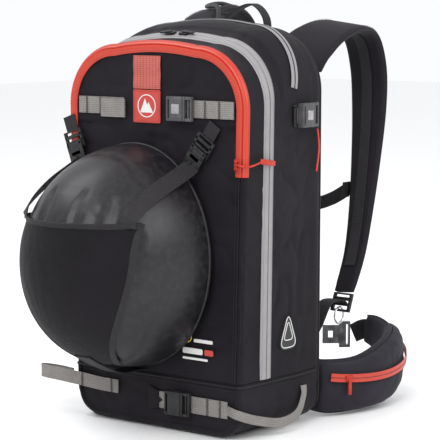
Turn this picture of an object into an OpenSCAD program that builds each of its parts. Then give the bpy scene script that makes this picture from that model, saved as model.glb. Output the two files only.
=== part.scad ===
// Avalanche airbag backpack, carrying a ski helmet in its front net.
// The bag's outer face looks along -Y, the harness is at +Y, and +X is the wearer's right.
// The origin is the middle of the flat base panel that the bag stands on. Millimetres.

/* [Bag] */
// Widest width of the bag
body_w = 292; // [234:1:350]
// Height of the bag at its crest
body_h = 522; // [435:1:626]
// Depth of the bag from outer face to back
body_d = 170; // [142:1:204]
// Radius of the two top corners
top_r = 80; // [66:1:96]
// Radius of the two bottom corners
bottom_r = 36; // [30:1:44]
// Radius of the rounded back edge
edge_r = 16; // [8:1:20]
// Radius of the tighter outer edge, which carries the pocket zip
front_r = 7; // [6:0.5:9]
// Thickness of the padded cloth walls
wall = 4; // [3:0.5:5]
// Share of the width lost at the foot of the outer face
waist = 0.08; // [0:0.01:0.1]
// Height of the boot, the tougher cloth that wraps the foot of the bag
boot_h = 74; // [62:1:88]
// How far behind the outer face the main zip runs
zip_setback = 48; // [40:1:56]

/* [Zips and webbing] */
// Width of one tape of the main zip
tape_w = 9; // [7:0.5:11]
// How far the pocket zip reaches in from the edge of the outer face
pocket_zip_w = 12; // [10:1:14]
// Length of the pocket zip's two straight legs
pocket_zip_leg = 80; // [66:1:96]
// Width of the carry straps
webbing_w = 22; // [18:1:25]
// Thickness of all webbing
webbing_t = 1.6; // [1.2:0.1:2]
// Length of a strap buckle's socket
socket_l = 25; // [21:1:30]
// Thickness of a strap buckle
buckle_t = 9; // [8:0.5:11]

/* [Harness] */
// Width of a shoulder strap
strap_w = 58; // [50:1:68]
// Thickness of a shoulder strap
strap_t = 12; // [10:0.5:14]
// Thickness of the moulded back pad
pad_t = 12; // [8:1:14]
// Thickness of a hip belt wing
wing_t = 13; // [10:0.5:16]
// Width of the hip belt webbing
belt_w = 38; // [32:1:44]

/* [Airbag system] */
// Diameter of the gas cartridge
cartridge_d = 52; // [44:1:56]
// Length of the gas cartridge's straight wall
cartridge_l = 150; // [125:1:180]
// Diameter of the cartridge's neck
neck_d = 20; // [16:1:24]
// Thickness of the rolled airbag
roll_t = 38; // [31:1:44]
// Diameter of the trigger cable's housing
cable_d = 6; // [5:0.5:7]
// Width of the trigger handle's grip
grip_w = 62; // [52:1:74]

/* [Helmet] */
// Length of the helmet, which stands upright in the net
helmet_l = 288; // [245:1:310]
// Width of the helmet
helmet_w = 240; // [200:1:256]
// Height of the helmet's dome
helmet_h = 166; // [138:1:180]
// Thickness of the helmet's hard shell
shell_t = 3; // [2:0.5:4]
// Thickness of the helmet's foam liner
liner_t = 20; // [16:1:26]

/* [Hidden] */

// Clearance between pieces that move past each other
gap = 0.4;
// Clearance between cloth pieces sewn to each other
seam = 0.3;
y_front = -body_d / 2;
y_back = body_d / 2;
base_t = 3;
zip_y = y_front + zip_setback;
crest_y = y_front + 0.65 * body_d;
top_fall = 26;
crown = 6;
side_z = body_h - top_fall - top_r;
pocket_zip_z = side_z - pocket_zip_leg;

// ---------- curves and lofts ----------
function unit(v) = v / norm(v);
function sum(v, i = 0) = i >= len(v) ? 0 : v[i] + sum(v, i + 1);
function clamp01(s) = max(0, min(1, s));
function mirror_x(p) = [for (q = p) [-q[0], q[1], q[2]]];
function reversed(p) = [for (i = [len(p) - 1 : -1 : 0]) p[i]];
// A smooth curve through the points, with m steps between neighbours
function spline(p, m) = [
    for (k = [0 : len(p) - 2], j = [0 : m - 1])
        let (a = p[max(k - 1, 0)], b = p[k], c = p[k + 1], d = p[min(k + 2, len(p) - 1)], s = j / m)
        0.5 * (2 * b + s * (c - a) + s * s * (2 * a - 5 * b + 4 * c - d)
            + s * s * s * (3 * b - a - 3 * c + d)),
    p[len(p) - 1]];
function tangent(p, k) = unit(p[min(k + 1, len(p) - 1)] - p[max(k - 1, 0)]);
// The side of a swept strip, and the direction of its thickness, at point k
// wide is one direction for the whole strip, or a list with one for each point.
function across(p, k, wide) =
    let (t = tangent(p, k), a = is_list(wide[0]) ? wide[k] : wide) unit(a - (a * t) * t);
function outward(p, k, wide) = cross(across(p, k, wide), tangent(p, k));

module solid(points, tris) {
    v = sum([for (t = tris) points[t[0]] * cross(points[t[1]], points[t[2]])]);
    polyhedron(points, v > 0 ? [for (t = tris) [t[2], t[1], t[0]]] : tris);
}

// A closed solid through rings of equal length, whose point i faces point n-1-i
module loft(rings) {
    n = len(rings[0]);
    m = len(rings);
    function cap(b) = [
        for (i = [0 : floor((n - 2) / 2) - 1])
            each [[b + i, b + i + 1, b + n - 2 - i], [b + i, b + n - 2 - i, b + n - 1 - i]],
        if (n % 2 == 1) [b + (n - 3) / 2, b + (n - 1) / 2, b + (n + 1) / 2]];
    sides = [
        for (k = [0 : m - 2], i = [0 : n - 1])
            let (a = k * n + i, b = k * n + (i + 1) % n)
            each [[a, a + n, b + n], [a, b + n, b]]];
    solid([for (r = rings) each r],
        concat(sides, cap(0), [for (t = cap((m - 1) * n)) [t[2], t[1], t[0]]]));
}

// A flat strip of width w and thickness t along points p, its width along wide
module ribbon(p, wide, w, t) {
    loft([for (k = [0 : len(p) - 1])
        let (a = across(p, k, wide) * w / 2, o = outward(p, k, wide) * t / 2)
        [p[k] + a + o, p[k] - a + o, p[k] - a - o, p[k] + a - o]]);
}

// A padded strip whose edges are thinner than its middle; ws holds a width for each point
module padded_strip(p, wide, ws, t) {
    loft([for (k = [0 : len(p) - 1])
        let (a = across(p, k, wide) * ws[k] / 2, o = outward(p, k, wide) * t / 2)
        [for (c = [[1, 0.4], [0.86, 1], [-0.86, 1], [-1, 0.4], [-1, -0.4], [-0.86, -1], [0.86, -1],
            [1, -0.4]]) p[k] + a * c[0] + o * c[1]]]);
}

// A round tube of radius r along points p
module tube(p, r, sides = 10) {
    loft([for (k = [0 : len(p) - 1])
        let (a = across(p, k, [1, 0.01, 0.02]), o = outward(p, k, [1, 0.01, 0.02]))
        [for (i = [0 : sides - 1])
            let (q = 360 * (i + 0.5) / sides) p[k] + r * (a * cos(q) + o * sin(q))]]);
}

module rounded_plate(x, y, z, r) {
    linear_extrude(z) hull() for (i = [-1, 1], j = [-1, 1])
        translate([i * (x / 2 - r), j * (y / 2 - r)]) circle(r, $fn = 24);
}

// ---------- the bag's outline ----------
// Its right half runs up from the foot: bottom corner, three stops on the side, top corner.
arc_n = 8;
boot_i = arc_n + 1;
front_i = boot_i + 1;
zip_i = front_i + 1;
corner_i = zip_i + 1;
mid_i = corner_i + arc_n + 1;
last_i = 2 * mid_i;
diagonal_i = corner_i + arc_n / 2;

// How much a rounded edge of radius r has come in, d from the face
function edge_in(d, r) = d >= r ? 0 : r - sqrt(r * r - pow(r - max(d, 0), 2));
function inset(y) = max(edge_in(y - y_front, front_r), edge_in(y_back - y, edge_r));
function foreness(y) = clamp01((crest_y - y) / (crest_y - y_front));
function half_w(y, z) = (body_w / 2 - inset(y)) * (1 - waist * (1 - z / body_h) * foreness(y));
// The top climbs from the outer face to a crest, then falls a little to the back
function smooth(s) = s * s * (3 - 2 * s);
function crown_z(y) = body_h - top_fall * smooth(clamp01((crest_y - y) / (0.85 * (crest_y - y_front))))
    - 6 * pow(max(0, y - crest_y) / (y_back - crest_y), 2);

function right_half(y, t) =
    let (w = body_w / 2 - t, top = crown_z(y) - t, foot = base_t + t, rt = top_r - t, rb = bottom_r - t)
    [for (i = [0 : arc_n])
        let (a = -90 + 90 * i / arc_n) [w - rb + rb * cos(a), foot + rb + rb * sin(a)],
     [w, boot_h], [w, boot_h + gap], [w, pocket_zip_z],
     for (i = [0 : arc_n]) let (a = 90 * i / arc_n) [w - rt + rt * cos(a), top - rt + rt * sin(a)]];
function place(q, y) = [q[0] * (1 - waist * (1 - q[1] / body_h) * foreness(y)), y, q[1]];
// The whole outline at depth y, drawn in by t from the sharp-edged bag
function outline(y, t) =
    let (r = right_half(y, t), l = [for (i = [len(r) - 1 : -1 : 0]) [-r[i][0], r[i][1]]])
    [for (q = concat(r, [[0, crown_z(y) - t + crown]], l)) place(q, y)];
function stretch(y, t, i0, i1) = let (o = outline(y, t)) [for (i = [i0 : i1]) o[i % (last_i + 1)]];

// A wall that follows outline points i0 to i1 through depths ys, from t0 outside to t1 inside
module wall_strip(i0, i1, ys, t0, t1) {
    loft([for (y = ys)
        concat(stretch(y, inset(y) + t0, i0, i1), reversed(stretch(y, inset(y) + t1, i0, i1)))]);
}
// A plate inside outline points i0 to i1
module plate(i0, i1, ys, t) {
    loft([for (y = ys) stretch(y, inset(y) + t, i0, i1)]);
}
// A strip of width w and thickness t laid on the outside, its middle at depth ys[k] at point i0 + k
module band(i0, ys, w, t) {
    loft([for (k = [0 : len(ys) - 1])
        let (p = function (y, d) stretch(y, inset(y) - d, i0 + k, i0 + k)[0])
        [p(ys[k] - w / 2, 0.2), p(ys[k] + w / 2, 0.2), p(ys[k] + w / 2, 0.2 + t),
            p(ys[k] - w / 2, 0.2 + t)]]);
}

slope_ys = [for (s = [0.15 : 0.25 : 0.9]) zip_y + s * (crest_y - zip_y)];
front_ys = [y_front, y_front + 0.35, y_front + 0.3 * front_r, y_front + front_r,
    zip_y - gap - 2 * tape_w, zip_y - gap - tape_w, zip_y - gap];
rear_ys = concat([zip_y + gap], slope_ys,
    [crest_y, y_back - edge_r, y_back - 0.6 * edge_r, y_back - wall, y_back - 1, y_back]);
boot_ys = [y_front, y_front + 0.35, y_front + 0.3 * front_r, y_front + wall, y_front + front_r, crest_y,
    y_back - edge_r, y_back - 0.6 * edge_r, y_back - wall, y_back - 1, y_back];

// ---------- bag, rear half ----------
base_w = 2 * (body_w / 2 - bottom_r) * (1 - waist) - 4;
base_d = body_d - 2 * edge_r - 6;

module base_panel() {
    color([0.07, 0.07, 0.08]) rounded_plate(base_w, base_d, base_t, 20);
}

module base_boot() {
    color([0.09, 0.09, 0.10]) {
        wall_strip(last_i - boot_i, last_i + 1 + boot_i, boot_ys, 0, wall);
        plate(last_i - boot_i, last_i + 1 + boot_i, [y_front, y_front + wall], wall + seam);
    }
}

module side_gussets() {
    color([0.11, 0.11, 0.12]) for (s = [0, 1]) mirror([s, 0, 0])
        wall_strip(boot_i, diagonal_i, rear_ys, 0, wall);
}

module top_gusset() {
    color([0.12, 0.12, 0.13]) wall_strip(diagonal_i, last_i - diagonal_i, rear_ys, 0, wall);
}

// The trigger cable leaves through an eyelet in the back wall
eyelet_x = -46;
eyelet_z = body_h - 52;
module back_wall() {
    color([0.10, 0.10, 0.11]) difference() {
        plate(0, last_i, [y_back - wall, y_back], wall);
        translate([eyelet_x, y_back + 1, eyelet_z]) rotate([90, 0, 0])
            cylinder(r = cable_d / 2 + 2, h = wall + 2, $fn = 48);
    }
}

back_pad_w = 0.92 * body_w;
back_pad_h = 0.61 * body_h;
back_pad_z = 106;
pad_y = y_back + seam;
channel_w = 30;
// A moulded foam pad with one upright air channel and three cross channels
module back_pad() {
    color([0.13, 0.13, 0.14]) translate([0, pad_y, back_pad_z + back_pad_h / 2]) rotate([-90, 0, 0])
        difference() {
            rounded_plate(back_pad_w, back_pad_h, pad_t, 36);
            translate([-channel_w / 2, -back_pad_h, pad_t * 0.4]) cube([channel_w, 2 * back_pad_h, pad_t]);
            for (s = [-0.24, 0.02, 0.27])
                translate([-back_pad_w, s * back_pad_h, pad_t * 0.4]) cube([2 * back_pad_w, 12, pad_t]);
        }
}

// The firmer pad between the roots of the hip belt
lumbar_w = 0.66 * body_w;
module lumbar_pad() {
    color([0.14, 0.14, 0.15]) translate([0, pad_y, 54]) rotate([-90, 0, 0])
        rounded_plate(lumbar_w, 84, pad_t + 3, 24);
}

sheet_t = 2.5;
module frame_sheet() {
    color([0.85, 0.85, 0.82]) translate([0, y_back - wall - seam, boot_h + 8 + 0.34 * body_h])
        rotate([90, 0, 0]) rounded_plate(0.74 * body_w, 0.66 * body_h, sheet_t, 30);
}

module main_zip_rear() {
    color([0.55, 0.55, 0.55])
        wall_strip(boot_i, last_i - boot_i, [zip_y + gap, zip_y + gap + tape_w], -1.3, -0.2);
}

// ---------- airbag system ----------
column_x = -(body_w / 2 - wall - cartridge_d / 2 - 7);
column_y = y_back - wall - sheet_t - cartridge_d / 2 - 8;
roll_foot_z = side_z;
venturi_r = 20;
venturi_h = 48;
head_h = 34;
head_w = 40;
head_z = roll_foot_z - venturi_h - head_h - 3;
roll_y0 = zip_y + 34;
roll_y1 = y_back - wall - sheet_t - 20;

module airbag_roll() {
    color([0.75, 0.12, 0.10]) wall_strip(corner_i, last_i - corner_i,
        [roll_y0, crest_y, (crest_y + roll_y1) / 2, roll_y1], wall + 2, wall + roll_t);
}

// The ejector that mixes the cartridge's gas with outside air and fills the airbag
module inlet_venturi() {
    color([0.2, 0.2, 0.22]) translate([column_x, column_y, head_z + head_h + 1]) difference() {
        union() {
            cylinder(r = venturi_r * 0.7, h = venturi_h, $fn = 48);
            cylinder(r = venturi_r, h = 8, $fn = 48);
            translate([0, 0, venturi_h - 8]) cylinder(r = venturi_r, h = 8, $fn = 48);
        }
        translate([0, 0, 6]) cylinder(r = venturi_r * 0.5, h = venturi_h, $fn = 48);
    }
}

thread_l = 14;
lever_pivot = [column_x + head_w / 2 - 9, column_y - head_w / 2 - 4, head_z + head_h / 2];
module valve_head() {
    color([0.7, 0.7, 0.72]) difference() {
        union() {
            translate([column_x - head_w / 2, column_y - head_w / 2, head_z]) cube([head_w, head_w, head_h]);
            translate(lever_pivot) rotate([-90, 0, 0]) cylinder(r = 2.5, h = 6, $fn = 32);
        }
        translate([column_x, column_y, head_z - 1])
            cylinder(r = neck_d / 2 + 0.3, h = thread_l + 1, $fn = 48);
        translate([column_x, column_y, head_z + thread_l - 1]) cylinder(r = 4, h = head_h, $fn = 32);
    }
}

module firing_lever() {
    color([0.8, 0.2, 0.15]) translate([lever_pivot[0], lever_pivot[1], lever_pivot[2]]) difference() {
        rotate([-90, 0, 0]) linear_extrude(3) difference() {
            hull() {
                circle(6, $fn = 32);
                translate([20, 0]) circle(4, $fn = 32);
            }
            circle(2.55, $fn = 48);
        }
        translate([20, -1, 0]) rotate([-90, 0, 0]) cylinder(r = 1.2, h = 6, $fn = 32);
    }
}

cartridge_foot = head_z - cartridge_l - 26;
module gas_cartridge() {
    r = cartridge_d / 2;
    color([0.16, 0.17, 0.18]) translate([column_x, column_y, cartridge_foot]) {
        rotate_extrude($fn = 72) polygon(concat(
            [[0, 2], [r - 8, 0]],
            [for (a = [-90 : 15 : 0]) [r - 8 + 8 * cos(a), 8 + 8 * sin(a)]],
            [for (a = [0 : 10 : 60]) [r - 18 + 18 * cos(a), cartridge_l + 18 * sin(a)]],
            [[neck_d / 2, cartridge_l + 17], [neck_d / 2, cartridge_l + 26 + thread_l - 2],
             [0, cartridge_l + 26 + thread_l - 2]]));
    }
}

// ---------- shoulder straps ----------
strap_x0 = 0.35 * body_w;
strap_root_y = y_back + strap_t / 2 + 3;
strap_top_z = body_h - 4;
strap_end = [strap_x0 + 12, y_back + 102, 158];
// Each knot is a point, then the share of the full width and the roll of the strap in degrees.
// The root is cut wide and leans outward a little over the shoulder blade.
strap_knots = [
    [strap_x0 - 6, strap_root_y, strap_top_z - 52, 1.3, 12],
    [strap_x0 - 4, strap_root_y + 20, strap_top_z - 27, 1.28, 20],
    [strap_x0, strap_root_y + 58, strap_top_z - 7, 1.18, 14],
    [strap_x0 + 3, strap_root_y + 102, strap_top_z, 1.08, 8],
    [strap_x0 + 3, strap_root_y + 142, strap_top_z - 14, 1, 0],
    [strap_x0 + 3, strap_root_y + 162, strap_top_z - 56, 1, 0],
    [strap_x0 + 2, strap_root_y + 167, strap_top_z - 112, 0.94, 0],
    [strap_x0 + 1, strap_root_y + 162, strap_top_z - 182, 0.80, 0],
    [strap_x0 + 3, strap_root_y + 148, strap_top_z - 250, 0.66, 0],
    [strap_x0 + 7, strap_root_y + 126, strap_top_z - 312, 0.56, 0],
    concat(strap_end, [0.5, 0])];
strap_curve = spline(strap_knots, 3);
strap_line = [for (q = strap_curve) [q[0], q[1], q[2]]];
strap_n = len(strap_line) - 1;

// The right strap lies lower over its arch than the left, which stands up a little
left_lift = 20;
function lift(p, h) = [for (q = p)
    q + [0, 0, h * clamp01((q[1] - y_back - 8) / 60) * clamp01((q[2] - 300) / 160)]];
left_line = mirror_x(lift(strap_line, left_lift));
module shoulder_straps() {
    color([0.10, 0.10, 0.12]) for (side = [-1, 1]) padded_strip(side > 0 ? strap_line : left_line,
        [for (q = strap_curve) [cos(q[4]), 0, -side * sin(q[4])]],
        [for (q = strap_curve) strap_w * q[3]], strap_t);
}

// The housing runs from the firing lever, through the eyelet, and along the left strap
cable_lift = strap_t / 2 + cable_d / 2 + 1;
cable_k0 = 7;
cable_k1 = 17;
// It stands further off the strap towards the handle, whose grip is thicker than the housing
function on_strap(k) = let (a = strap_curve[k][4], s = (k - cable_k0) / (cable_k1 - cable_k0))
    left_line[k] + (cable_lift + 5 * s) * outward(left_line, k, [cos(a), 0, sin(a)]);
cable_line = concat(
    spline([
        [lever_pivot[0] + 21, lever_pivot[1] + 1.5, head_z + head_h + 8],
        [lever_pivot[0] + 24, lever_pivot[1] + 8, head_z + head_h + 40],
        [eyelet_x - 14, y_back - wall - sheet_t - 9, roll_foot_z + 6],
        [eyelet_x, y_back - wall - sheet_t - 7, eyelet_z - 26],
        [eyelet_x, y_back - wall - 8, eyelet_z - 5],
        [eyelet_x, y_back + 1, eyelet_z],
        [eyelet_x - 1, y_back + 14, eyelet_z + 12],
        [eyelet_x - 3, y_back + 27, eyelet_z + 46],
        [eyelet_x - 14, y_back + 44, eyelet_z + 74]], 3),
    [for (k = [cable_k0 : cable_k1]) on_strap(k)]);
module trigger_cable() {
    color([0.12, 0.12, 0.13]) tube(cable_line, cable_d / 2);
}

handle_top = cable_line[len(cable_line) - 1] - [0, 0, 2];
module trigger_handle() {
    color([0.86, 0.10, 0.08]) translate(handle_top + [0, 3, 0]) {
        translate([0, 0, -32]) cylinder(r = 4, h = 31, $fn = 32);
        hull() for (i = [-1, 1])
            translate([i * (grip_w / 2 - 8), 0, -34]) sphere(r = 8, $fn = 24);
    }
}

adjuster_w = 30;
adjuster_t = 5;
adjuster_l = 26;
// Two bars and three slots, flat in the X-Z plane, hanging from the origin
module ladder_lock(w, l, t) {
    difference() {
        translate([-w / 2, -t / 2, -l]) cube([w, t, l]);
        for (s = [[0.15, 1.8], [0.46, 1.8], [0.78, 2.6]])
            translate([-w / 2 + 4, -t, -s[0] * l - s[1]]) cube([w - 8, 2 * t, 2 * s[1]]);
    }
}

adjuster_top = strap_end - [0, 1, 3];
module strap_adjusters() {
    color([0.08, 0.08, 0.08]) for (s = [-1, 1])
        translate([s * adjuster_top[0], adjuster_top[1], adjuster_top[2]]) rotate([-22, 0, 0])
            ladder_lock(adjuster_w, adjuster_l, adjuster_t);
}

lower_anchor = [body_w / 2 - 34, y_back + webbing_t, 96];
lower_line = spline([
    adjuster_top + [0, -9, -11],
    adjuster_top + [0, -22, -6],
    adjuster_top + [-1, -46, -9],
    [lower_anchor[0] + 2, lower_anchor[1] + 28, lower_anchor[2] + 22],
    [lower_anchor[0], lower_anchor[1] + 6, lower_anchor[2] + 2],
    [lower_anchor[0], lower_anchor[1], lower_anchor[2] - 12]], 4);
module lower_webbing() {
    color([0.09, 0.09, 0.10]) for (s = [0, 1]) mirror([s, 0, 0]) ribbon(lower_line, [1, 0, 0], 22, webbing_t);
}

// A steel ring through the right adjuster's lowest slot, for a leg loop
ring_r = 11;
ring_wire_r = 1.5;
module leg_ring() {
    color([0.8, 0.8, 0.82]) translate(adjuster_top) rotate([-22, 0, 0])
        translate([0, 0, -0.78 * adjuster_l - ring_r]) rotate([0, 90, 0])
            rotate_extrude($fn = 64) translate([ring_r, 0]) circle(ring_wire_r, $fn = 24);
}

// ---------- haul loop ----------
haul_w = 16;
haul_y = y_back + haul_w / 2 + 2;
haul_foot_z = body_h - 22;
haul_line = spline([
    [-34, haul_y, haul_foot_z], [-26, haul_y, haul_foot_z + 22], [-2, haul_y, haul_foot_z + 40],
    [26, haul_y, haul_foot_z + 48], [46, haul_y, haul_foot_z + 30], [48, haul_y, haul_foot_z]], 5);
module haul_loop() {
    color([0.09, 0.09, 0.10]) ribbon(haul_line, [0, 1, 0], haul_w, 2);
}

// ---------- buckles ----------
// Drawn with the length along X, the width along Y and the thickness up Z.
// The socket lies at x below 0 and opens at x = 0; the plug slides in from +X.
buckle_w = webbing_w + 9;
tongue_l = socket_l - 9;
module socket() {
    difference() {
        translate([-socket_l, -buckle_w / 2, 0]) cube([socket_l, buckle_w, buckle_t]);
        translate([-socket_l + 7, -buckle_w / 2 + 3, 2]) cube([socket_l, buckle_w - 6, buckle_t - 4]);
        translate([-socket_l + 9, -buckle_w, 2]) cube([socket_l - 16, 2 * buckle_w, buckle_t - 4]);
        translate([-socket_l + 2.2, -webbing_w / 2 - 0.5, -1]) cube([2.6, webbing_w + 1, buckle_t + 2]);
    }
}

plug_l = 13;
module plug() {
    arm_t = buckle_t - 4 - 2 * gap;
    difference() {
        translate([gap, -buckle_w / 2, 0]) cube([plug_l, buckle_w, buckle_t]);
        for (x = [3, 8.2])
            translate([x, -webbing_w / 2 - 0.5, -1]) cube([2.6, webbing_w + 1, buckle_t + 2]);
    }
    translate([-tongue_l, -3.5, 2 + gap]) cube([tongue_l + 1, 7, arm_t]);
    for (s = [-1, 1]) {
        translate([-tongue_l + 2, s * (buckle_w / 2 - 7) - 1.4, 2 + gap]) cube([tongue_l - 1, 2.8, arm_t]);
        translate([-tongue_l + 2, s * (buckle_w / 2 - 5.2) - 1.6, 2 + gap]) cube([7, 3.2, arm_t]);
    }
}

// Onto the outer face, thickness towards -Y; onto the right side, length along Y
module on_front(p) translate(p) rotate([90, 0, 0]) children();
module on_side(p, side) translate(p) rotate([0, 0, 90]) rotate([side * 90, 0, 0]) children();

// Webbing lies flat on the cloth, and the buckle stands on the webbing
strap_off = seam + webbing_t;
buckle_off = strap_off + gap;

upper_z = side_z + 2;
upper_buckle_x = 52;
upper_half = half_w(y_front + front_r, upper_z) - front_r - pocket_zip_w + 1;
module upper_straps() {
    color([0.62, 0.62, 0.59]) {
        translate([20, y_front - strap_off, upper_z - webbing_w / 2])
            cube([upper_half - 20, webbing_t, webbing_w]);
        translate([-upper_half, y_front - strap_off, upper_z - webbing_w / 2])
            cube([upper_half - 46, webbing_t, webbing_w]);
        translate([-84, y_front - strap_off - seam - webbing_t, upper_z - webbing_w / 2 - 3])
            cube([36, webbing_t, webbing_w]);
    }
}

// A woven ribbon runs down the middle of the outer face to a square label
tag_x = -12;
tag_w = 44;
tag_top = crown_z(y_front) - 14;
label_z = upper_z - 20;
module front_labels() {
    color([0.80, 0.30, 0.26]) translate([tag_x - tag_w / 2, y_front - seam - 1, label_z + 46])
        cube([tag_w, 1, tag_top - label_z - 46]);
    color([0.80, 0.16, 0.14]) translate([tag_x, y_front - seam, label_z + 21]) rotate([90, 0, 0])
        rounded_plate(tag_w, 42, 1.2, 1.5);
}

module upper_buckle_socket() {
    color([0.25, 0.25, 0.26]) on_front([upper_buckle_x, y_front - buckle_off, upper_z]) socket();
}

module upper_buckle_plug() {
    color([0.25, 0.25, 0.26]) on_front([upper_buckle_x, y_front - buckle_off, upper_z]) plug();
}

lower_z = 40;
lower_buckle_x = 48;
boot_half = half_w(y_front + front_r, lower_z);
strap_end_x = boot_half - front_r - 12;
module lower_buckle_plug() {
    color([0.14, 0.14, 0.15]) on_front([lower_buckle_x, y_front - buckle_off, lower_z]) plug();
}

// A narrow loop that droops from the lower strap round to the back of the boot, to carry a ski
loop_w = 12;
loop_knots = [
    [strap_end_x + seam, y_front - strap_off + webbing_t / 2, lower_z, 0],
    [boot_half - 1, y_front - 4, lower_z - 3, 34],
    [boot_half + 7, y_front + 26, lower_z - 14, 76],
    [body_w / 2 + 4, y_front + 68, lower_z - 23, 84],
    [body_w / 2 + 7, y_front + 102, lower_z - 17, 92],
    [body_w / 2 + 4, y_front + 121, lower_z + 3, 96],
    [body_w / 2 + 2.2, y_front + 123, lower_z + 16, 90]];
loop_curve = spline(loop_knots, 4);
ski_line = [for (q = loop_curve) [q[0], q[1], q[2]]];
// The loop's flat side turns from the outer face to the side of the bag
module ski_loop() {
    color([0.66, 0.66, 0.65]) ribbon(ski_line,
        [for (k = [0 : len(ski_line) - 1])
            let (a = loop_curve[k][3]) cross(tangent(ski_line, k), [sin(a), -cos(a), 0])],
        loop_w, webbing_t);
}

// The tool loop leaves the outer face low on the left and folds back on itself past the edge
tool_z = 53;
tool_line = spline([
    [-62, y_front - strap_off + webbing_t / 2, tool_z - 5],
    [-90, y_front - strap_off - 2, tool_z - 4],
    [-118, y_front - strap_off - 6, tool_z - 1],
    [-boot_half - 20, y_front - 12, tool_z + 2],
    [-boot_half - 52, y_front - 8, tool_z + 2],
    [-boot_half - 60, y_front + 1, tool_z + 1],
    [-boot_half - 40, y_front + 8, tool_z],
    [-boot_half - 8, y_front + 3, tool_z]], 4);
module tool_loop() {
    color([0.60, 0.60, 0.58]) ribbon(tool_line, [0, 0, 1], webbing_w - 4, webbing_t);
}

side_buckle_z = side_z - 8;
side_buckle_y = y_back - 40;
side_x = body_w / 2 + 1;
module bag_straps() {
    color([0.66, 0.66, 0.65]) {
        translate([8, y_front - strap_off, lower_z - webbing_w / 2])
            cube([strap_end_x - 8, webbing_t, webbing_w]);
        for (s = [-1, 1]) translate([s * (side_x + webbing_t / 2), 0, side_buckle_z])
            translate([-webbing_t / 2, side_buckle_y - socket_l, -webbing_w / 2])
                cube([webbing_t, y_back - edge_r - 2 - side_buckle_y + socket_l, webbing_w]);
    }
}

// A side buckle's middle line: its underside stands on the webbing
function side_seat(s) = [s * (side_x + webbing_t + gap), side_buckle_y, side_buckle_z];
// A thin release cord hangs behind the right side buckle
module side_cord() {
    color([0.75, 0.20, 0.18]) tube(spline([
        [side_x + 2.6, side_buckle_y + 19, side_buckle_z - 19], 
        [side_x + 3.4, side_buckle_y + 22, side_buckle_z - 44],
        [side_x + 2.8, side_buckle_y + 17, side_buckle_z - 74]], 4), 1.1, 8);
}

// A small rounded patch low on the right side
patch_z = 128;
module side_patch() {
    color([0.16, 0.16, 0.17]) translate([half_w(4, patch_z) + 0.4, 4, patch_z])
        rotate([0, 0, atan2(half_w(-8, patch_z) - half_w(16, patch_z), 24)]) rotate([90, 0, 90])
        linear_extrude(1.5) hull() {
            translate([0, 12]) circle(4, $fn = 24);
            for (i = [-1, 1]) translate([i * 7, -12]) circle(4, $fn = 24);
        }
}

module buckle_sockets() {
    color([0.25, 0.25, 0.26]) {
        for (s = [-1, 1]) on_side(side_seat(s), s) socket();
        on_front([lower_buckle_x, y_front - buckle_off, lower_z]) socket();
    }
}

module side_buckle_plug(side) {
    color([0.25, 0.25, 0.26]) on_side(side_seat(side), side) plug();
}

// ---------- bag, front half ----------
module front_gusset() {
    color([0.11, 0.11, 0.12]) wall_strip(front_i, last_i - front_i, front_ys, 0, wall);
}

module front_face() {
    color([0.10, 0.10, 0.11])
        plate(front_i, last_i - front_i, [y_front, y_front + wall - seam], wall + 2 * seam);
}

divider_y = y_front + 34;
module pocket_divider() {
    color([0.16, 0.16, 0.17])
        plate(front_i, last_i - front_i, [divider_y, divider_y + 2], wall + 0.6);
}

module main_zip_front() {
    color([0.55, 0.55, 0.55])
        wall_strip(front_i, last_i - front_i, [zip_y - gap - tape_w, zip_y - gap], -1.3, -0.2);
}

// The pocket zip is bent over the edge of the outer face
pocket_zip_t = 1.8;
module pocket_zip() {
    // The zip's surface held off the cloth by d: two stops on the face, then round the edge
    function skin(d) = concat([[y_front - d, front_r + pocket_zip_w - 5], [y_front - d, front_r]],
        [for (a = [30, 60, 90])
            [y_front + front_r - (front_r + d) * cos(a), front_r - (front_r + d) * sin(a)]]);
    outer = skin(0.3 + pocket_zip_t);
    inner = skin(0.3);
    color([0.88, 0.20, 0.10]) loft([for (k = [0 : len(outer) - 1]) concat(
        stretch(outer[k][0], outer[k][1], zip_i, last_i - zip_i),
        reversed(stretch(inner[k][0], inner[k][1], zip_i, last_i - zip_i)))]);
}

zip_mid_x = half_w(y_front + front_r, pocket_zip_z) - front_r - 1;
slider_z = pocket_zip_z + 16;
slider_y = y_front - 0.3 - pocket_zip_t - gap;
// The pull turns on an upright pin that two lugs hold in front of the slider
pin_r = 1.2;
pin_y = slider_y - 5.4;
module pocket_zip_slider() {
    color([0.90, 0.25, 0.15]) translate([zip_mid_x, slider_y, slider_z]) {
        translate([-5, -2.5, -8]) cube([10, 2.5, 15]);
        for (z = [-5.5, 3.5]) translate([-2.2, -7.4, z]) cube([4.4, 5, 2]);
        translate([0, -5.4, -4]) cylinder(r = pin_r, h = 8, $fn = 32);
    }
}

// A stiff cord with a moulded tab, bent round the bag's edge
pull_line = spline([
    [zip_mid_x + 1.9, pin_y, slider_z], [zip_mid_x + 8, pin_y + 0.5, slider_z - 1],
    [zip_mid_x + 14.5, pin_y + 7, slider_z - 2], [zip_mid_x + 17.5, slider_y + 12, slider_z],
    [zip_mid_x + 18, slider_y + 24, slider_z + 3]], 3);
module pocket_zip_pull() {
    color([0.90, 0.25, 0.15]) union() {
        translate([zip_mid_x, pin_y, slider_z - 2.6]) difference() {
            cylinder(r = 2.7, h = 5.2, $fn = 32);
            translate([0, 0, -1]) cylinder(r = pin_r + 0.3, h = 8, $fn = 32);
        }
        tube(pull_line, 1.3, 8);
        translate(pull_line[len(pull_line) - 1]) rotate([0, 0, 4]) rotate([-8, 0, 0])
            translate([-1.5, -2, -3.5]) cube([3, 32, 7]);
    }
}

// ---------- helmet and net ----------
helmet_x = -24;
helmet_z = boot_h + 10 + helmet_l / 2;
rim_y = y_front - 9;
dome_n = 32;
dome_steps = 7;
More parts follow.
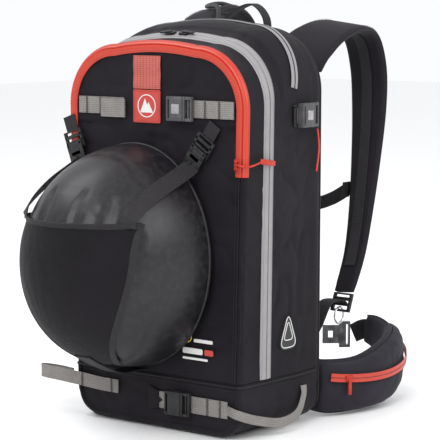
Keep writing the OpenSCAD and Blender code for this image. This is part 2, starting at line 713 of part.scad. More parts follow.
// A ring of the dome at share s from rim to crown, drawn in by t
function dome_ring(s, t) = let (a = 90 * s, w = helmet_w / 2 - t, l = helmet_l / 2 - t, c = pow(cos(a), 0.86))
    [for (i = [0 : dome_n - 1]) let (q = 360 * i / dome_n)
        [helmet_x + w * c * cos(q), rim_y - (helmet_h - t) * sin(a), helmet_z + l * c * sin(q)]];
// A shell between two domes, t0 and t1 in from the surface, open at the rim
module dome_shell(t0, t1) {
    m = dome_steps;
    rings = concat([for (k = [0 : m - 1]) dome_ring(k / m, t0)],
        [for (k = [0 : m - 1]) dome_ring(k / m, t1)]);
    poles = [[helmet_x, rim_y - helmet_h + t0, helmet_z], [helmet_x, rim_y - helmet_h + t1, helmet_z]];
    n = dome_n;
    p0 = 2 * m * n;
    function skin(b, flip) = [
        for (k = [0 : m - 2], i = [0 : n - 1])
            let (a = b + k * n + i, c = b + k * n + (i + 1) % n,
                q = [[a, c, c + n], [a, c + n, a + n]])
            each flip ? [for (t = q) reversed(t)] : q];
    function pole_fan(b, p, flip) = [
        for (i = [0 : n - 1]) let (t = [b + (m - 1) * n + i, b + (m - 1) * n + (i + 1) % n, p])
            flip ? reversed(t) : t];
    rim = [for (i = [0 : n - 1])
        each [[i, m * n + (i + 1) % n, (i + 1) % n], [i, m * n + i, m * n + (i + 1) % n]]];
    solid(concat([for (r = rings) each r], poles), concat(skin(0, false), pole_fan(0, p0, false),
        skin(m * n, true), pole_fan(m * n, p0 + 1, true), rim));
}

module helmet_shell() {
    color([0.07, 0.07, 0.08]) dome_shell(0, shell_t);
}

module helmet_liner() {
    color([0.18, 0.18, 0.19]) dome_shell(shell_t + seam, shell_t + liner_t);
}

// The net is a stretch sheet over the lower dome; net_point is its surface at angles (u, v)
net_off = 1.2;
net_t = 1.6;
function net_point(x, z, t) =
    let (rx = (x - helmet_x) / (helmet_w / 2 + t), rz = (z - helmet_z) / (helmet_l / 2 + t),
        c = min(1, sqrt(rx * rx + rz * rz)))
    [x, rim_y - (helmet_h + t) * sqrt(1 - pow(c, 2 / 0.86)), z];
net_top = helmet_z + 56;
net_foot = helmet_z - 0.9 * helmet_l / 2;
// Half-width of the net at height z: widest at mid height, drawn in at the foot
function net_half(z) = let (s = (z - net_foot) / (net_top - net_foot)) helmet_w / 2
    * (0.26 + 0.50 * sin(clamp01(s * 1.3) * 90));
net_rows = 10;
net_cols = 12;
module helmet_net() {
    color([0.08, 0.08, 0.09]) loft([for (r = [net_rows : -1 : 0])
        let (z = net_foot + (net_top - net_foot) * r / net_rows, h = net_half(z))
        concat([for (c = [0 : net_cols]) net_point(helmet_x - h + 2 * h * c / net_cols, z, net_off + net_t)],
            [for (c = [net_cols : -1 : 0]) net_point(helmet_x - h + 2 * h * c / net_cols, z, net_off)])]);
}

// The anchors are sewn to the outer face, the left one over the closed pocket zip. Each strap of
// the net ends in a hook whose tooth drops into an anchor's slot.
anchor_z = upper_z - 35;
function anchor_tilt(s) = s > 0 ? 34 : 20;
anchor_t = 4;
hook_t = 2.5;
function anchor_rise(s) = s > 0 ? 0 : pocket_zip_t + 0.3;
function on_anchor(s) = [helmet_x + (s > 0 ? 110 : -112), y_front - seam - anchor_rise(s) - anchor_t / 2,
    anchor_z];
module at_anchor(s) {
    translate(on_anchor(s)) rotate([0, s * anchor_tilt(s), 0]) children();
}
module net_anchors() {
    color([0.06, 0.06, 0.07]) for (s = [-1, 1]) at_anchor(s) ladder_lock(30, 26, anchor_t);
}

tooth_z = -0.78 * 26;
module net_hooks() {
    color([0.06, 0.06, 0.07]) for (s = [-1, 1]) at_anchor(s) {
        translate([-13, -anchor_t / 2 - 0.5 - hook_t, tooth_z - 24]) cube([26, hook_t, 27]);
        translate([-8, -anchor_t / 2 - 1, tooth_z - 1.1]) cube([16, 3, 2.2]);
    }
}

// Two straps rise from the net's upper corners, and a third holds its foot to the bag
function net_strap_line(s) =
    let (h = net_half(net_top), c = net_point(helmet_x + s * (h - 9), net_top - 4, net_off + net_t + 1.2),
        a = anchor_tilt(s), y = y_front - 9.5 - anchor_rise(s),
        e = [on_anchor(s)[0] - s * 36 * sin(a), y, anchor_z - 36 * cos(a)], m = (c + e) / 2)
    spline([c, c + [s * 2, 5, 15], m + [s * 1.5, -9, 3], e + [0, -5, -9], e], 4);
foot_z = helmet_z - helmet_l / 2;
foot_line = concat(
    [for (z = [net_foot + 12, net_foot]) net_point(helmet_x, z, net_off + net_t + 1.2)],
    [[helmet_x, rim_y - 46, foot_z - 2.5], [helmet_x, rim_y - 14, foot_z - 4.5],
        [helmet_x, y_front - 1.6, foot_z - 6]]);
module net_straps() {
    color([0.07, 0.07, 0.08]) {
        for (s = [-1, 1]) {
            p = net_strap_line(s);
            ribbon(p, [for (k = [0 : len(p) - 1]) cross([s * 0.6, -0.7, 0.35], tangent(p, k))],
                22, webbing_t);
        }
        ribbon(foot_line, [1, 0, 0], 26, webbing_t);
    }
}

// ---------- zip sliders on the bag's top ----------
// The top of the outline falls from its middle to the corner at this slope
top_run = body_w / 2 - top_r;
top_slope = atan2(crown, top_run * (1 - waist * 0.05));
zip_lean = atan2(crown_z(zip_y + 4) - crown_z(zip_y - 4), 8);
module main_zip_slider(side) {
    color([0.30, 0.30, 0.31]) translate([0, zip_y, crown_z(zip_y) + crown + 1.3 + 1])
        rotate([0, side * top_slope, 0]) rotate([zip_lean, 0, 0]) translate([side * 11, 0, 0]) {
            translate([-7, -4.5, 0]) cube([14, 9, 3]);
            translate([-9 + side * 7, -2.6, 2.6]) cube([18, 5.2, 2.4]);
        }
}

// The airbag's burst zip runs over the top and bends towards the outer face at both ends
airbag_zip_y = y_front + 127;
airbag_zip_w = 13;
function burst_y(k) = airbag_zip_y - 28 * pow(abs(k - (mid_i - corner_i - 1)) / (mid_i - corner_i - 1), 1.6);
module airbag_zip() {
    color([0.55, 0.55, 0.55]) band(corner_i + 1,
        [for (k = [0 : last_i - 2 * corner_i - 2]) burst_y(k)], airbag_zip_w, 1.1);
}

pull_at = [body_w / 2 + 2.3, burst_y(0) + 1, side_z + 4];
module airbag_zip_pull() {
    color([0.06, 0.06, 0.07]) translate(pull_at) {
        translate([-1.2, -3, -26]) cube([2.4, 6, 26]);
        rotate([90, 0, 0]) cylinder(r = 1.8, h = 8, center = true, $fn = 32);
    }
}

// ---------- sternum strap ----------
// A clip on the inner edge of each shoulder strap carries one end of the chest strap
sternum_z = 292;
sternum_k = [for (i = [9 : strap_n]) if (strap_line[i][2] < sternum_z) i][0];
sternum_y = strap_line[sternum_k][1] + 1;
strap_edge = strap_line[sternum_k][0] - strap_w * strap_curve[sternum_k][3] / 2;
sag = 26;
sternum_x = strap_edge - 6;
sternum_line = spline([
    [-sternum_x + 1, sternum_y, sternum_z - 2], [-sternum_x + 26, sternum_y + 1, sternum_z - 16],
    [-20, sternum_y + 2, sternum_z - sag], [20, sternum_y + 2, sternum_z - sag],
    [sternum_x - 26, sternum_y + 1, sternum_z - 16], [sternum_x - 1, sternum_y, sternum_z - 2]], 3);
module sternum_clip() {
    difference() {
        translate([strap_edge - 9, sternum_y - 8.4, sternum_z - 11]) cube([10.5, 16.8, 20]);
        translate([strap_edge - 3.6, sternum_y - 7.4, sternum_z - 12]) cube([6, 14.8, 22]);
    }
}
module sternum_strap() {
    color([0.07, 0.07, 0.08]) {
        ribbon(sternum_line, [0, 0, 1], 18, webbing_t);
        for (s = [0, 1]) mirror([s, 0, 0]) sternum_clip();
    }
}

sternum_seat = [8, sternum_y + 2 + webbing_t / 2 + gap, sternum_z - sag];
sternum_scale = 0.75;
module sternum_buckle_socket() {
    color([0.08, 0.08, 0.09]) translate(sternum_seat) rotate([-90, 0, 0]) scale(sternum_scale) socket();
}

module sternum_buckle_plug() {
    color([0.08, 0.08, 0.09]) translate(sternum_seat) rotate([-90, 0, 0]) scale(sternum_scale) plug();
}

// ---------- hip belt ----------
hip_x = lumbar_w / 2 + 14;
hip_y = y_back + wing_t / 2 + 2.5;
// Each knot is a point in plan, then the wing's lower and upper edge there
wing_curve = spline([
    [hip_x, hip_y, 12, 80], [hip_x + 22, hip_y + 18, 4, 76], [hip_x + 38, hip_y + 62, 2, 75],
    [hip_x + 41, hip_y + 110, 3, 83], [hip_x + 32, hip_y + 156, 14, 92], [hip_x + 10, hip_y + 198, 34, 98],
    [hip_x - 24, hip_y + 224, 52, 101], [hip_x - 44, hip_y + 230, 60, 100]], 3);
wing_line = [for (q = wing_curve) [q[0], q[1], 0]];
wing_n = len(wing_line) - 1;
function wing_ring(k, t, lift, trim) =
    let (o = outward(wing_line, k, [0, 0, 1]), lo = wing_curve[k][2] + trim, hi = wing_curve[k][3] - trim)
    [for (c = [[lo, 0.5], [lo + 6, 1], [hi - 6, 1], [hi, 0.5], [hi, -0.5], [hi - 6, -1], [lo + 6, -1],
        [lo, -0.5]]) wing_line[k] + o * (lift + c[1] * t / 2) + [0, 0, c[0]]];

// A zipped pocket that swells from the outside of the right wing
pocket_k0 = 2;
pocket_k1 = 16;
pocket_swell = 18;
function pocket_t(k) = 4 + pocket_swell * sqrt(sin(180 * (k - pocket_k0) / (pocket_k1 - pocket_k0)));
module hip_pocket() {
    color([0.14, 0.14, 0.16]) loft([for (k = [pocket_k0 : pocket_k1])
        wing_ring(k, pocket_t(k), -(wing_t / 2 + seam + pocket_t(k) / 2), 3)]);
}

// Its zip follows the swell along the middle
module hip_zip() {
    p = [for (k = [pocket_k0 + 1 : pocket_k1 - 1])
        let (o = outward(wing_line, k, [0, 0, 1]), s = (k - pocket_k0) / (pocket_k1 - pocket_k0))
        wing_line[k] - o * (wing_t / 2 + 2 * seam + pocket_t(k) + 0.8)
            + [0, 0, 58 - 10 * sin(180 * s) + 12 * s * s]];
    color([0.88, 0.20, 0.10]) ribbon(p, [0, 0, 1], 11, 1.2);
}

belt_z = (wing_curve[wing_n][2] + wing_curve[wing_n][3]) / 2;
wing_tip = wing_line[wing_n];
belt_line = spline([
    [wing_tip[0] - seam, wing_tip[1] + 0.5, belt_z], [wing_tip[0] - 8, wing_tip[1] + 3, belt_z - 1],
    [wing_tip[0] - 15, wing_tip[1] + 1, belt_z - 4], [wing_tip[0] - 21, wing_tip[1] - 6, belt_z - 8]], 4);
module hip_wing(side) {
    mirror([side > 0 ? 0 : 1, 0, 0]) {
        color([0.13, 0.13, 0.15]) loft([for (k = [0 : wing_n]) wing_ring(k, wing_t, 0, 0)]);
        color([0.07, 0.07, 0.08]) ribbon(belt_line, [0, 0, 1], belt_w - 10, webbing_t);
    }
}

belt_tip = belt_line[len(belt_line) - 1];
belt_buckle_t = 8;
belt_turn = 40;
// The metal buckle hangs open: a slotted frame on the left tip, a hooked plate on the right
module belt_buckle_frame(side, l) {
    translate([side * (belt_tip[0] - 4), belt_tip[1] - 2, belt_tip[2] - 1]) rotate([0, 0, side * belt_turn])
        translate([side > 0 ? -l : 0, -belt_buckle_t / 2, -belt_w / 2]) children();
}

module belt_buckle_socket() {
    l = 44;
    color([0.62, 0.62, 0.64]) belt_buckle_frame(-1, l) difference() {
        cube([l, belt_buckle_t, belt_w]);
        translate([8, 1.6, 5]) cube([l, belt_buckle_t - 3.2, belt_w - 10]);
        translate([20, -1, 10]) cube([12, belt_buckle_t / 2, belt_w - 20]);
        translate([3, -1, 4]) cube([3, belt_buckle_t + 2, belt_w - 8]);
    }
}

module belt_buckle_plug() {
    l = 40;
    color([0.62, 0.62, 0.64]) belt_buckle_frame(1, l) difference() {
        union() {
            translate([l - 16, 0, 0]) cube([16, belt_buckle_t, belt_w]);
            translate([0, 2.2, 5.6]) cube([l - 10, belt_buckle_t - 4.4, belt_w - 11.2]);
        }
        translate([l - 6, -1, 4]) cube([3, belt_buckle_t + 2, belt_w - 8]);
        translate([8, -1, belt_w / 2 - 5]) cube([7, belt_buckle_t + 2, 10]);
    }
}

base_panel();
base_boot();
side_gussets();
top_gusset();
back_wall();
back_pad();
lumbar_pad();
frame_sheet();
airbag_roll();
inlet_venturi();
valve_head();
trigger_cable();
main_zip_rear();
airbag_zip();
shoulder_straps();
strap_adjusters();
lower_webbing();
bag_straps();
buckle_sockets();
side_cord();
side_patch();
ski_loop();
tool_loop();
haul_loop();
front_face();
front_gusset();
pocket_divider();
pocket_zip();
main_zip_front();
upper_straps();
front_labels();
upper_buckle_socket();
net_anchors();
upper_buckle_plug();
pocket_zip_slider();
pocket_zip_pull();
helmet_shell();
helmet_liner();
helmet_net();
net_straps();
net_hooks();
side_buckle_plug(1);  // side_buckle_plug_right
side_buckle_plug(-1);  // side_buckle_plug_left
lower_buckle_plug();
main_zip_slider(1);  // main_zip_slider_right
main_zip_slider(-1);  // main_zip_slider_left
airbag_zip_pull();
trigger_handle();
firing_lever();
gas_cartridge();
sternum_strap();
sternum_buckle_socket();
sternum_buckle_plug();
hip_wing(1);  // hip_wing_right
hip_wing(-1);  // hip_wing_left
hip_pocket();
hip_zip();
belt_buckle_socket();
belt_buckle_plug();
leg_ring();
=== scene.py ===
"""An avalanche airbag backpack with a ski helmet in its net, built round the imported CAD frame."""
import math

import bmesh
import bpy
import numpy as np
from mathutils import Matrix, Vector, noise


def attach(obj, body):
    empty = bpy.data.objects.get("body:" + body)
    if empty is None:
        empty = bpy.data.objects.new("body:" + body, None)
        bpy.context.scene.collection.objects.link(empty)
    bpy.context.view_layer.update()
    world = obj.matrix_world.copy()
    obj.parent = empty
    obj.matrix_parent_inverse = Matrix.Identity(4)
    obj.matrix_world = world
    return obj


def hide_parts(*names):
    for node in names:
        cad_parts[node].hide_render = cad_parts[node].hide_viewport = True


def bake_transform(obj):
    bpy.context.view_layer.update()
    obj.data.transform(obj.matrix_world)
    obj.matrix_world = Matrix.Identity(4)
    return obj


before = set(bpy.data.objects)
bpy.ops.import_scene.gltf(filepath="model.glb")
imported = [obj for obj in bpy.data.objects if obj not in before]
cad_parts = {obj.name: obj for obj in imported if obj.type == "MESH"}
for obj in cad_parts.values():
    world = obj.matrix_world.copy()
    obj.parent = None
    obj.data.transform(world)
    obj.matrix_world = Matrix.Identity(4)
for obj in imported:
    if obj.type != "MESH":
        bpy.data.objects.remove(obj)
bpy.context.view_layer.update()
bpy.ops.object.select_all(action="DESELECT")

# ---------------------------------------------------------------- camera, floor and light
# A plain pale studio: one seamless floor, three large soft lamps and an even pale sky.
camera = bpy.data.objects.new("camera", bpy.data.cameras.new("camera"))
bpy.context.scene.collection.objects.link(camera)
camera.location = (1.450, -1.890, 0.5525)
aim = Vector((0, 0, 0.26)) - camera.location
camera.rotation_euler = aim.to_track_quat("-Z", "Y").to_euler()
camera.data.lens = 148.6
camera.data.sensor_width = 36
camera.data.shift_x = 0.056
camera.data.shift_y = 0.009
bpy.context.scene.camera = camera

bpy.ops.mesh.primitive_plane_add(size=14, location=(0, 2, 0))
floor = bpy.context.object
floor.name = "floor"
floor_paint = bpy.data.materials.new("floor_paint")
floor_paint.use_nodes = True
floor_paint.node_tree.nodes["Principled BSDF"].inputs["Base Color"].default_value = (0.93, 0.93, 0.93, 1)
floor_paint.node_tree.nodes["Principled BSDF"].inputs["Roughness"].default_value = 0.8
floor.data.materials.append(floor_paint)

for name, place, size, power in (
    ("key_lamp", (0.9, -2.4, 2.3), 1.6, 46),
    ("side_lamp", (2.6, 0.3, 1.7), 1.5, 30),
    ("top_lamp", (-1.2, -0.6, 2.6), 1.6, 30),
):
    lamp = bpy.data.objects.new(name, bpy.data.lights.new(name, "AREA"))
    lamp.data.size = size
    lamp.data.energy = power
    lamp.location = place
    lamp.rotation_euler = (Vector((0, 0, 0.25)) - Vector(place)).to_track_quat("-Z", "Y").to_euler()
    bpy.context.scene.collection.objects.link(lamp)
sky = bpy.data.worlds.new("sky")
sky.use_nodes = True
sky.node_tree.nodes["Background"].inputs["Color"].default_value = (0.97, 0.98, 1.0, 1)
sky.node_tree.nodes["Background"].inputs["Strength"].default_value = 1.0
bpy.context.scene.world = sky
bpy.context.scene.view_settings.view_transform = "Standard"

# ---------------------------------------------------------------- main bag, rear half
# Coated ripstop nylon sewn into a wrap-round gusset behind the main zip. It is bound to the back
# panel with a rounded seam, and the cloth puckers and sags a little between its seams.
body_w, body_h, body_d = 0.292, 0.522, 0.170
top_r, bottom_r, edge_r, front_r = 0.080, 0.036, 0.016, 0.007
waist, boot_h, base_t, top_fall, crown = 0.08, 0.074, 0.003, 0.026, 0.006
y_front, y_back = -body_d / 2, body_d / 2
zip_y = y_front + 0.048
crest_y = y_front + 0.65 * body_d
side_z = body_h - top_fall - top_r
upper_z = side_z + 0.002
# lengths along half of the outline: base, bottom corner, side, top corner, top
runs = np.cumsum([0, body_w / 2 - bottom_r, bottom_r * math.pi / 2, side_z - base_t - bottom_r,
                  top_r * math.pi / 2, body_w / 2 - top_r])
half_run = runs[-1]


def edge_in(d, r):
    return 0 if d >= r else r - math.sqrt(r * r - (r - max(d, 0)) ** 2)


def inset(y):
    return max(edge_in(y - y_front, front_r), edge_in(y_back - y, edge_r))


def foreness(y):
    return min(1, max(0, (crest_y - y) / (crest_y - y_front)))


def crown_z(y):
    s = min(1, max(0, (crest_y - y) / (0.85 * (crest_y - y_front))))
    return body_h - top_fall * s * s * (3 - 2 * s) - 0.006 * (max(0, y - crest_y) / (y_back - crest_y)) ** 2


def narrow(z, y):
    return 1 - waist * (1 - z / body_h) * foreness(y)


def rim(s, y, t):
    """The outline at depth y, drawn in by t, at length s from the base's middle round to the right."""
    side = 1
    if s > half_run:
        s, side = 2 * half_run - s, -1
    w, top, foot = body_w / 2 - t, crown_z(y) - t, base_t + t
    rt, rb = max(top_r - t, 0.001), max(bottom_r - t, 0.001)
    k = int(np.clip(np.searchsorted(runs, s, side="right") - 1, 0, 4))
    f = (s - runs[k]) / (runs[k + 1] - runs[k])
    if k == 0:
        x, z = (w - rb) * f, foot
    elif k == 1:
        a = math.radians(-90 + 90 * f)
        x, z = w - rb + rb * math.cos(a), foot + rb + rb * math.sin(a)
    elif k == 2:
        z0 = base_t + bottom_r
        x, z = w, z0 + f * (side_z - z0) + f * f * (crown_z(y) - top_r - side_z)
    elif k == 3:
        a = math.radians(90 * f)
        x, z = w - rt + rt * math.cos(a), top - rt + rt * math.sin(a)
    else:
        x, z = (w - rt) * (1 - f), top + crown * (1 - (1 - f) ** 2)
    return np.array([side * x * narrow(z, y), y, z])


def s_at(z):
    """The outline length at which the right side stands z above the floor."""
    return runs[2] + z - base_t - bottom_r


def grid_normals(grid, centre=(0, 0, 0.26)):
    """Each point's direction away from the bag's middle, square to the grid."""
    n = np.cross(np.gradient(grid, axis=0), np.gradient(grid, axis=1))
    n = n / np.maximum(np.linalg.norm(n, axis=2, keepdims=True), 1e-12)
    return n if (n * (grid - np.array(centre))).sum() > 0 else -n


def mesh_piece(name, verts, faces, uvs=None, smooth=40):
    mesh = bpy.data.meshes.new(name)
    mesh.from_pydata([tuple(map(float, v)) for v in verts], [], faces)
    if uvs is not None:
        layer = mesh.uv_layers.new(name="UVMap")
        flat = np.array([uvs[loop.vertex_index] for loop in mesh.loops], np.float32)
        layer.data.foreach_set("uv", flat.ravel())
    piece = bpy.data.objects.new(name, mesh)
    bpy.context.scene.collection.objects.link(piece)
    bm = bmesh.new()
    bm.from_mesh(mesh)
    bmesh.ops.remove_doubles(bm, verts=bm.verts, dist=1e-6)
    bmesh.ops.recalc_face_normals(bm, faces=bm.faces)
    bm.to_mesh(mesh)
    bm.free()
    soften(piece, smooth)
    return piece


def soften(piece, angle=40):
    bpy.ops.object.select_all(action="DESELECT")
    piece.select_set(True)
    bpy.context.view_layer.objects.active = piece
    bpy.ops.object.shade_smooth_by_angle(angle=math.radians(angle))
    piece.select_set(False)


def shell(name, grid, thick, smooth=60):
    """A closed skin: the grid is its outer face, and its inner face lies thick metres behind."""
    rows, cols = grid.shape[:2]
    inner = grid - grid_normals(grid) * thick
    verts = np.concatenate([grid.reshape(-1, 3), inner.reshape(-1, 3)])
    off = rows * cols
    faces = []
    for i in range(rows - 1):
        for j in range(cols - 1):
            a = i * cols + j
            quad = (a, a + 1, a + cols + 1, a + cols)
            faces += [quad, tuple(off + q for q in reversed(quad))]
    ring = [(0, j) for j in range(cols)] + [(i, cols - 1) for i in range(1, rows)]
    ring += [(rows - 1, j) for j in range(cols - 2, -1, -1)] + [(i, 0) for i in range(rows - 2, 0, -1)]
    ring = [i * cols + j for i, j in ring]
    for a, b in zip(ring, ring[1:] + ring[:1]):
        faces.append((b, a, off + a, off + b))
    uvs = [(j * 0.004, i * 0.004) for _ in (0, 1) for i in range(rows) for j in range(cols)]
    return mesh_piece(name, verts, faces, uvs, smooth)


def fade(count, width):
    """A row of shares that rise from 0 at both ends to 1 over width steps."""
    k = np.arange(count)
    return np.clip(np.minimum(k, count - 1 - k) / width, 0, 1) ** 0.7


def dents(grid, depth, scale, seed):
    """How far slack cloth has fallen in at each point: broad hollows with sharper creases in them."""
    out = np.zeros(grid.shape[:2])
    sx, sy, sz = scale
    for i in range(grid.shape[0]):
        for j in range(grid.shape[1]):
            x, y, z = grid[i, j]
            p = Vector((x * sx + seed, y * sy, z * sz))
            broad = noise.noise(p)
            crease = 1 - abs(noise.noise(p * 2.3 + Vector((broad, 0.7 * broad, 0))))
            out[i, j] = 0.55 * (0.5 + 0.5 * broad) + 0.45 * crease ** 5
    return depth * out


def sink(grid, depth):
    return grid - grid_normals(grid) * depth[:, :, None]


def new_group(name, inputs, outputs):
    group = bpy.data.node_groups.new(name, "ShaderNodeTree")
    for label, kind, value in inputs:
        socket = group.interface.new_socket(label, in_out="INPUT", socket_type="NodeSocket" + kind)
        if value is not None:
            socket.default_value = value
    for label, kind in outputs:
        group.interface.new_socket(label, in_out="OUTPUT", socket_type="NodeSocket" + kind)
    return group, group.nodes.new("NodeGroupInput"), group.nodes.new("NodeGroupOutput")


def add(tree, kind, values=None, **props):
    node = tree.nodes.new("ShaderNode" + kind)
    for key, value in props.items():
        setattr(node, key, value)
    for key, value in (values or {}).items():
        if isinstance(value, bpy.types.NodeSocket):
            tree.links.new(value, node.inputs[key])
        else:
            node.inputs[key].default_value = value
    return node


def maths(tree, op, a, b=0.0, c=0.0):
    node = tree.nodes.new("ShaderNodeMath")
    node.operation = op
    for k, value in enumerate((a, b, c)):
        if isinstance(value, bpy.types.NodeSocket):
            tree.links.new(value, node.inputs[k])
        else:
            node.inputs[k].default_value = value
    return node.outputs[0]


# plain weave: two sets of yarns that pass over each other, on whatever side the cloth faces
weave, g_in, g_out = new_group(
    "plain_weave", [("Vector", "Vector", None), ("Yarns", "Float", 700.0)], [("Height", "Float")])
split = add(weave, "SeparateXYZ", {0: g_in.outputs["Vector"]})
flat_run = maths(weave, "ADD", split.outputs[0], split.outputs[1])
warp = maths(weave, "SINE", maths(weave, "MULTIPLY", flat_run, g_in.outputs["Yarns"]))
high_run = maths(weave, "ADD", split.outputs[2], maths(weave, "MULTIPLY", split.outputs[1], 0.35))
weft = maths(weave, "SINE", maths(weave, "MULTIPLY", high_run, g_in.outputs["Yarns"]))
weave.links.new(maths(weave, "MULTIPLY", warp, weft), g_out.inputs["Height"])

# creases: soft folds and a few sharp ones, with a share that tells rubbed cloth from clean
creases, g_in, g_out = new_group(
    "creases", [("Vector", "Vector", None), ("Size", "Float", 22.0)], [("Height", "Float"), ("Rub", "Float")])
wide = add(creases, "TexNoise", {"Vector": g_in.outputs["Vector"], "Scale": g_in.outputs["Size"],
                                 "Detail": 4.0, "Roughness": 0.55, "Distortion": 0.6})
ridge = maths(creases, "ABSOLUTE", maths(creases, "SUBTRACT", wide.outputs[0], 0.5))
ridge = maths(creases, "SUBTRACT", 1.0, maths(creases, "MULTIPLY", ridge, 5.0))
ridge = maths(creases, "POWER", maths(creases, "MAXIMUM", ridge, 0.0), 2.0)
creases.links.new(maths(creases, "ADD", wide.outputs[0], maths(creases, "MULTIPLY", ridge, 0.35)),
                  g_out.inputs["Height"])
patchy = add(creases, "TexNoise", {"Vector": g_in.outputs["Vector"], "Scale": 9.0, "Detail": 6.0})
creases.links.new(patchy.outputs[0], g_out.inputs["Rub"])


def new_material(name):
    mat = bpy.data.materials.new(name)
    mat.use_nodes = True
    return mat, mat.node_tree, mat.node_tree.nodes["Principled BSDF"]


def tinted(tree, bsdf, share, dark, light, **props):
    """The colour runs from dark to light with share."""
    tint = add(tree, "Mix", {0: share, 6: (*dark, 1), 7: (*light, 1)}, data_type="RGBA", **props)
    tree.links.new(tint.outputs[2], bsdf.inputs["Base Color"])


def roughened(tree, bsdf, share, gain, base):
    tree.links.new(maths(tree, "ADD", maths(tree, "MULTIPLY", share, gain), base), bsdf.inputs["Roughness"])


def bumped(tree, bsdf, strength, distance, height):
    bump = add(tree, "Bump", {"Strength": strength, "Distance": distance, "Height": height})
    tree.links.new(bump.outputs[0], bsdf.inputs["Normal"])


def cloth(name, dark, light, rough=0.7, yarns=5200.0, size=16.0, fold=0.0012, grain=0.00012, sheen=0.035,
          where="Object"):
    """Woven cloth: colour that shifts where it is rubbed, folds in its bump, and a fine weave."""
    mat, tree, bsdf = new_material(name)
    at = add(tree, "TexCoord").outputs[where]
    fold_node = add(tree, "Group", node_tree=creases)
    fold_node.inputs["Size"].default_value = size
    tree.links.new(at, fold_node.inputs["Vector"])
    yarn_node = add(tree, "Group", node_tree=weave)
    yarn_node.inputs["Yarns"].default_value = yarns
    tree.links.new(at, yarn_node.inputs["Vector"])
    ramp = add(tree, "MapRange", {0: fold_node.outputs["Rub"], 1: 0.35, 2: 0.7})
    tinted(tree, bsdf, ramp.outputs[0], dark, light)
    roughened(tree, bsdf, fold_node.outputs["Rub"], 0.22, rough - 0.11)
    folds = add(tree, "Bump", {"Strength": 0.6, "Distance": fold, "Height": fold_node.outputs["Height"]})
    yarn = add(tree, "Bump", {"Strength": 0.6, "Distance": grain, "Height": yarn_node.outputs["Height"],
                              "Normal": folds.outputs[0]})
    tree.links.new(yarn.outputs[0], bsdf.inputs["Normal"])
    bsdf.inputs["Specular IOR Level"].default_value = 0.14
    bsdf.inputs["Sheen Weight"].default_value = sheen
    bsdf.inputs["Sheen Roughness"].default_value = 0.45
    return mat


def finish(piece, mat, body, slot, *nodes):
    if mat is not None:
        piece.data.materials.clear()
        piece.data.materials.append(mat)
    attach(piece, body)
    if nodes:
        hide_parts(*nodes)
    return piece


def dress(node, mat):
    """A CAD node that stays as it is takes the material mat."""
    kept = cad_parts[node]
    kept.data.materials.clear()
    kept.data.materials.append(mat)


shell_cloth = cloth("shell_cloth", (0.0060, 0.0046, 0.0070), (0.0130, 0.0105, 0.0145))

seam_s = [s_at(boot_h + 0.0004), 2 * half_run - s_at(boot_h + 0.0004)]
gusset_s = np.linspace(seam_s[0], seam_s[1], 300)
rear_y = np.concatenate([np.linspace(zip_y + 0.0004, y_back - edge_r, 30)[:-1],
                         y_back - edge_r * (1 - np.sin(np.linspace(0, math.pi / 2, 9)))])
rear = np.array([[rim(s, y, inset(y)) for y in rear_y] for s in gusset_s])
hold = np.outer(fade(300, 10), fade(len(rear_y), 5)) * np.clip((y_back - 0.018 - rear[:, :, 1]) / 0.03, 0, 1)
# the cloth stays flat where the side buckles, the burst zip and the patch are sewn on
for i, s in enumerate(gusset_s):
    p = rear[i, 0]
    for j, y in enumerate(rear_y):
        z = rear[i, j, 2]
        if s_at(side_z) - 0.02 < s < 2 * half_run - s_at(side_z) + 0.02 and -0.01 < y < 0.056:
            hold[i, j] *= 0.15
        if abs(z - side_z + 0.008) < 0.02 or abs(z - 0.128) < 0.022:
            hold[i, j] *= 0.35
rear = sink(rear, dents(rear, 0.0045, (11, 16, 9), 3.1) * hold)
finish(shell("rear_shell", rear, 0.003), shell_cloth, "bag", "shell_fabric", "side_gussets", "top_gusset")


def cover(y, z0, t, cols, rows, lower=False):
    """A flat sheet inside the outline at depth y: from z0 up to the arched top, or down to the foot."""
    grid = np.zeros((cols, rows, 3))
    w, top, foot, rt, rb = body_w / 2 - t, crown_z(y) - t, base_t + t, top_r - t, bottom_r - t
    for i in range(cols):
        u = math.sin(math.pi / 2 * (2 * i / (cols - 1) - 1))
        x = w * u
        if lower:
            over = max(0, abs(x) - (w - rb))
            z1 = foot + rb - math.sqrt(max(0, rb * rb - over * over))
        else:
            over = max(0, abs(x) - (w - rt))
            z1 = top - rt + math.sqrt(max(0, rt * rt - over * over))
            z1 += crown * max(0, 1 - abs(x) / (w - rt))
        for j in range(rows):
            z = z0 + (z1 - z0) * j / (rows - 1)
            grid[i, j] = (x * narrow(z, y), y, z)
    return grid


back_grid = np.concatenate([cover(y_back, 0.2, edge_r, 60, 40, True)[:, ::-1],
                            cover(y_back, 0.2, edge_r, 60, 60)[:, 1:]], axis=1)
back_grid[:, :, 1] -= 0.0008
finish(shell("back_shell", back_grid[::-1], 0.003), shell_cloth, "bag", "shell_fabric", "back_wall")


# ---------------------------------------------------------------- boot
# A tougher fabric wrapped round the foot of the bag, with the piped seam that joins it to the
# gusset above. Its base is a flat stiffened panel that the bag stands on.
boot_cloth = cloth("boot_cloth", (0.0062, 0.0048, 0.0072), (0.0140, 0.0115, 0.0155), yarns=4200, grain=0.0002)
boot_top = boot_h - 0.0002
boot_y = np.concatenate([y_front + front_r * (1 - np.sin(np.linspace(math.pi / 2, 0, 6))),
                         np.linspace(y_front + front_r, y_back - edge_r, 28)[1:-1],
                         y_back - edge_r * (1 - np.sin(np.linspace(0, math.pi / 2, 9)))])
boot_y[0] = y_front + 0.0003
right_s = np.linspace(s_at(boot_top), 0, 70)
boot_s = np.concatenate([right_s, -right_s[-2::-1]])


def round_the_foot(s, y, t):
    p = rim(abs(s), y, t)
    return p if s >= 0 else p * np.array([-1, 1, 1])


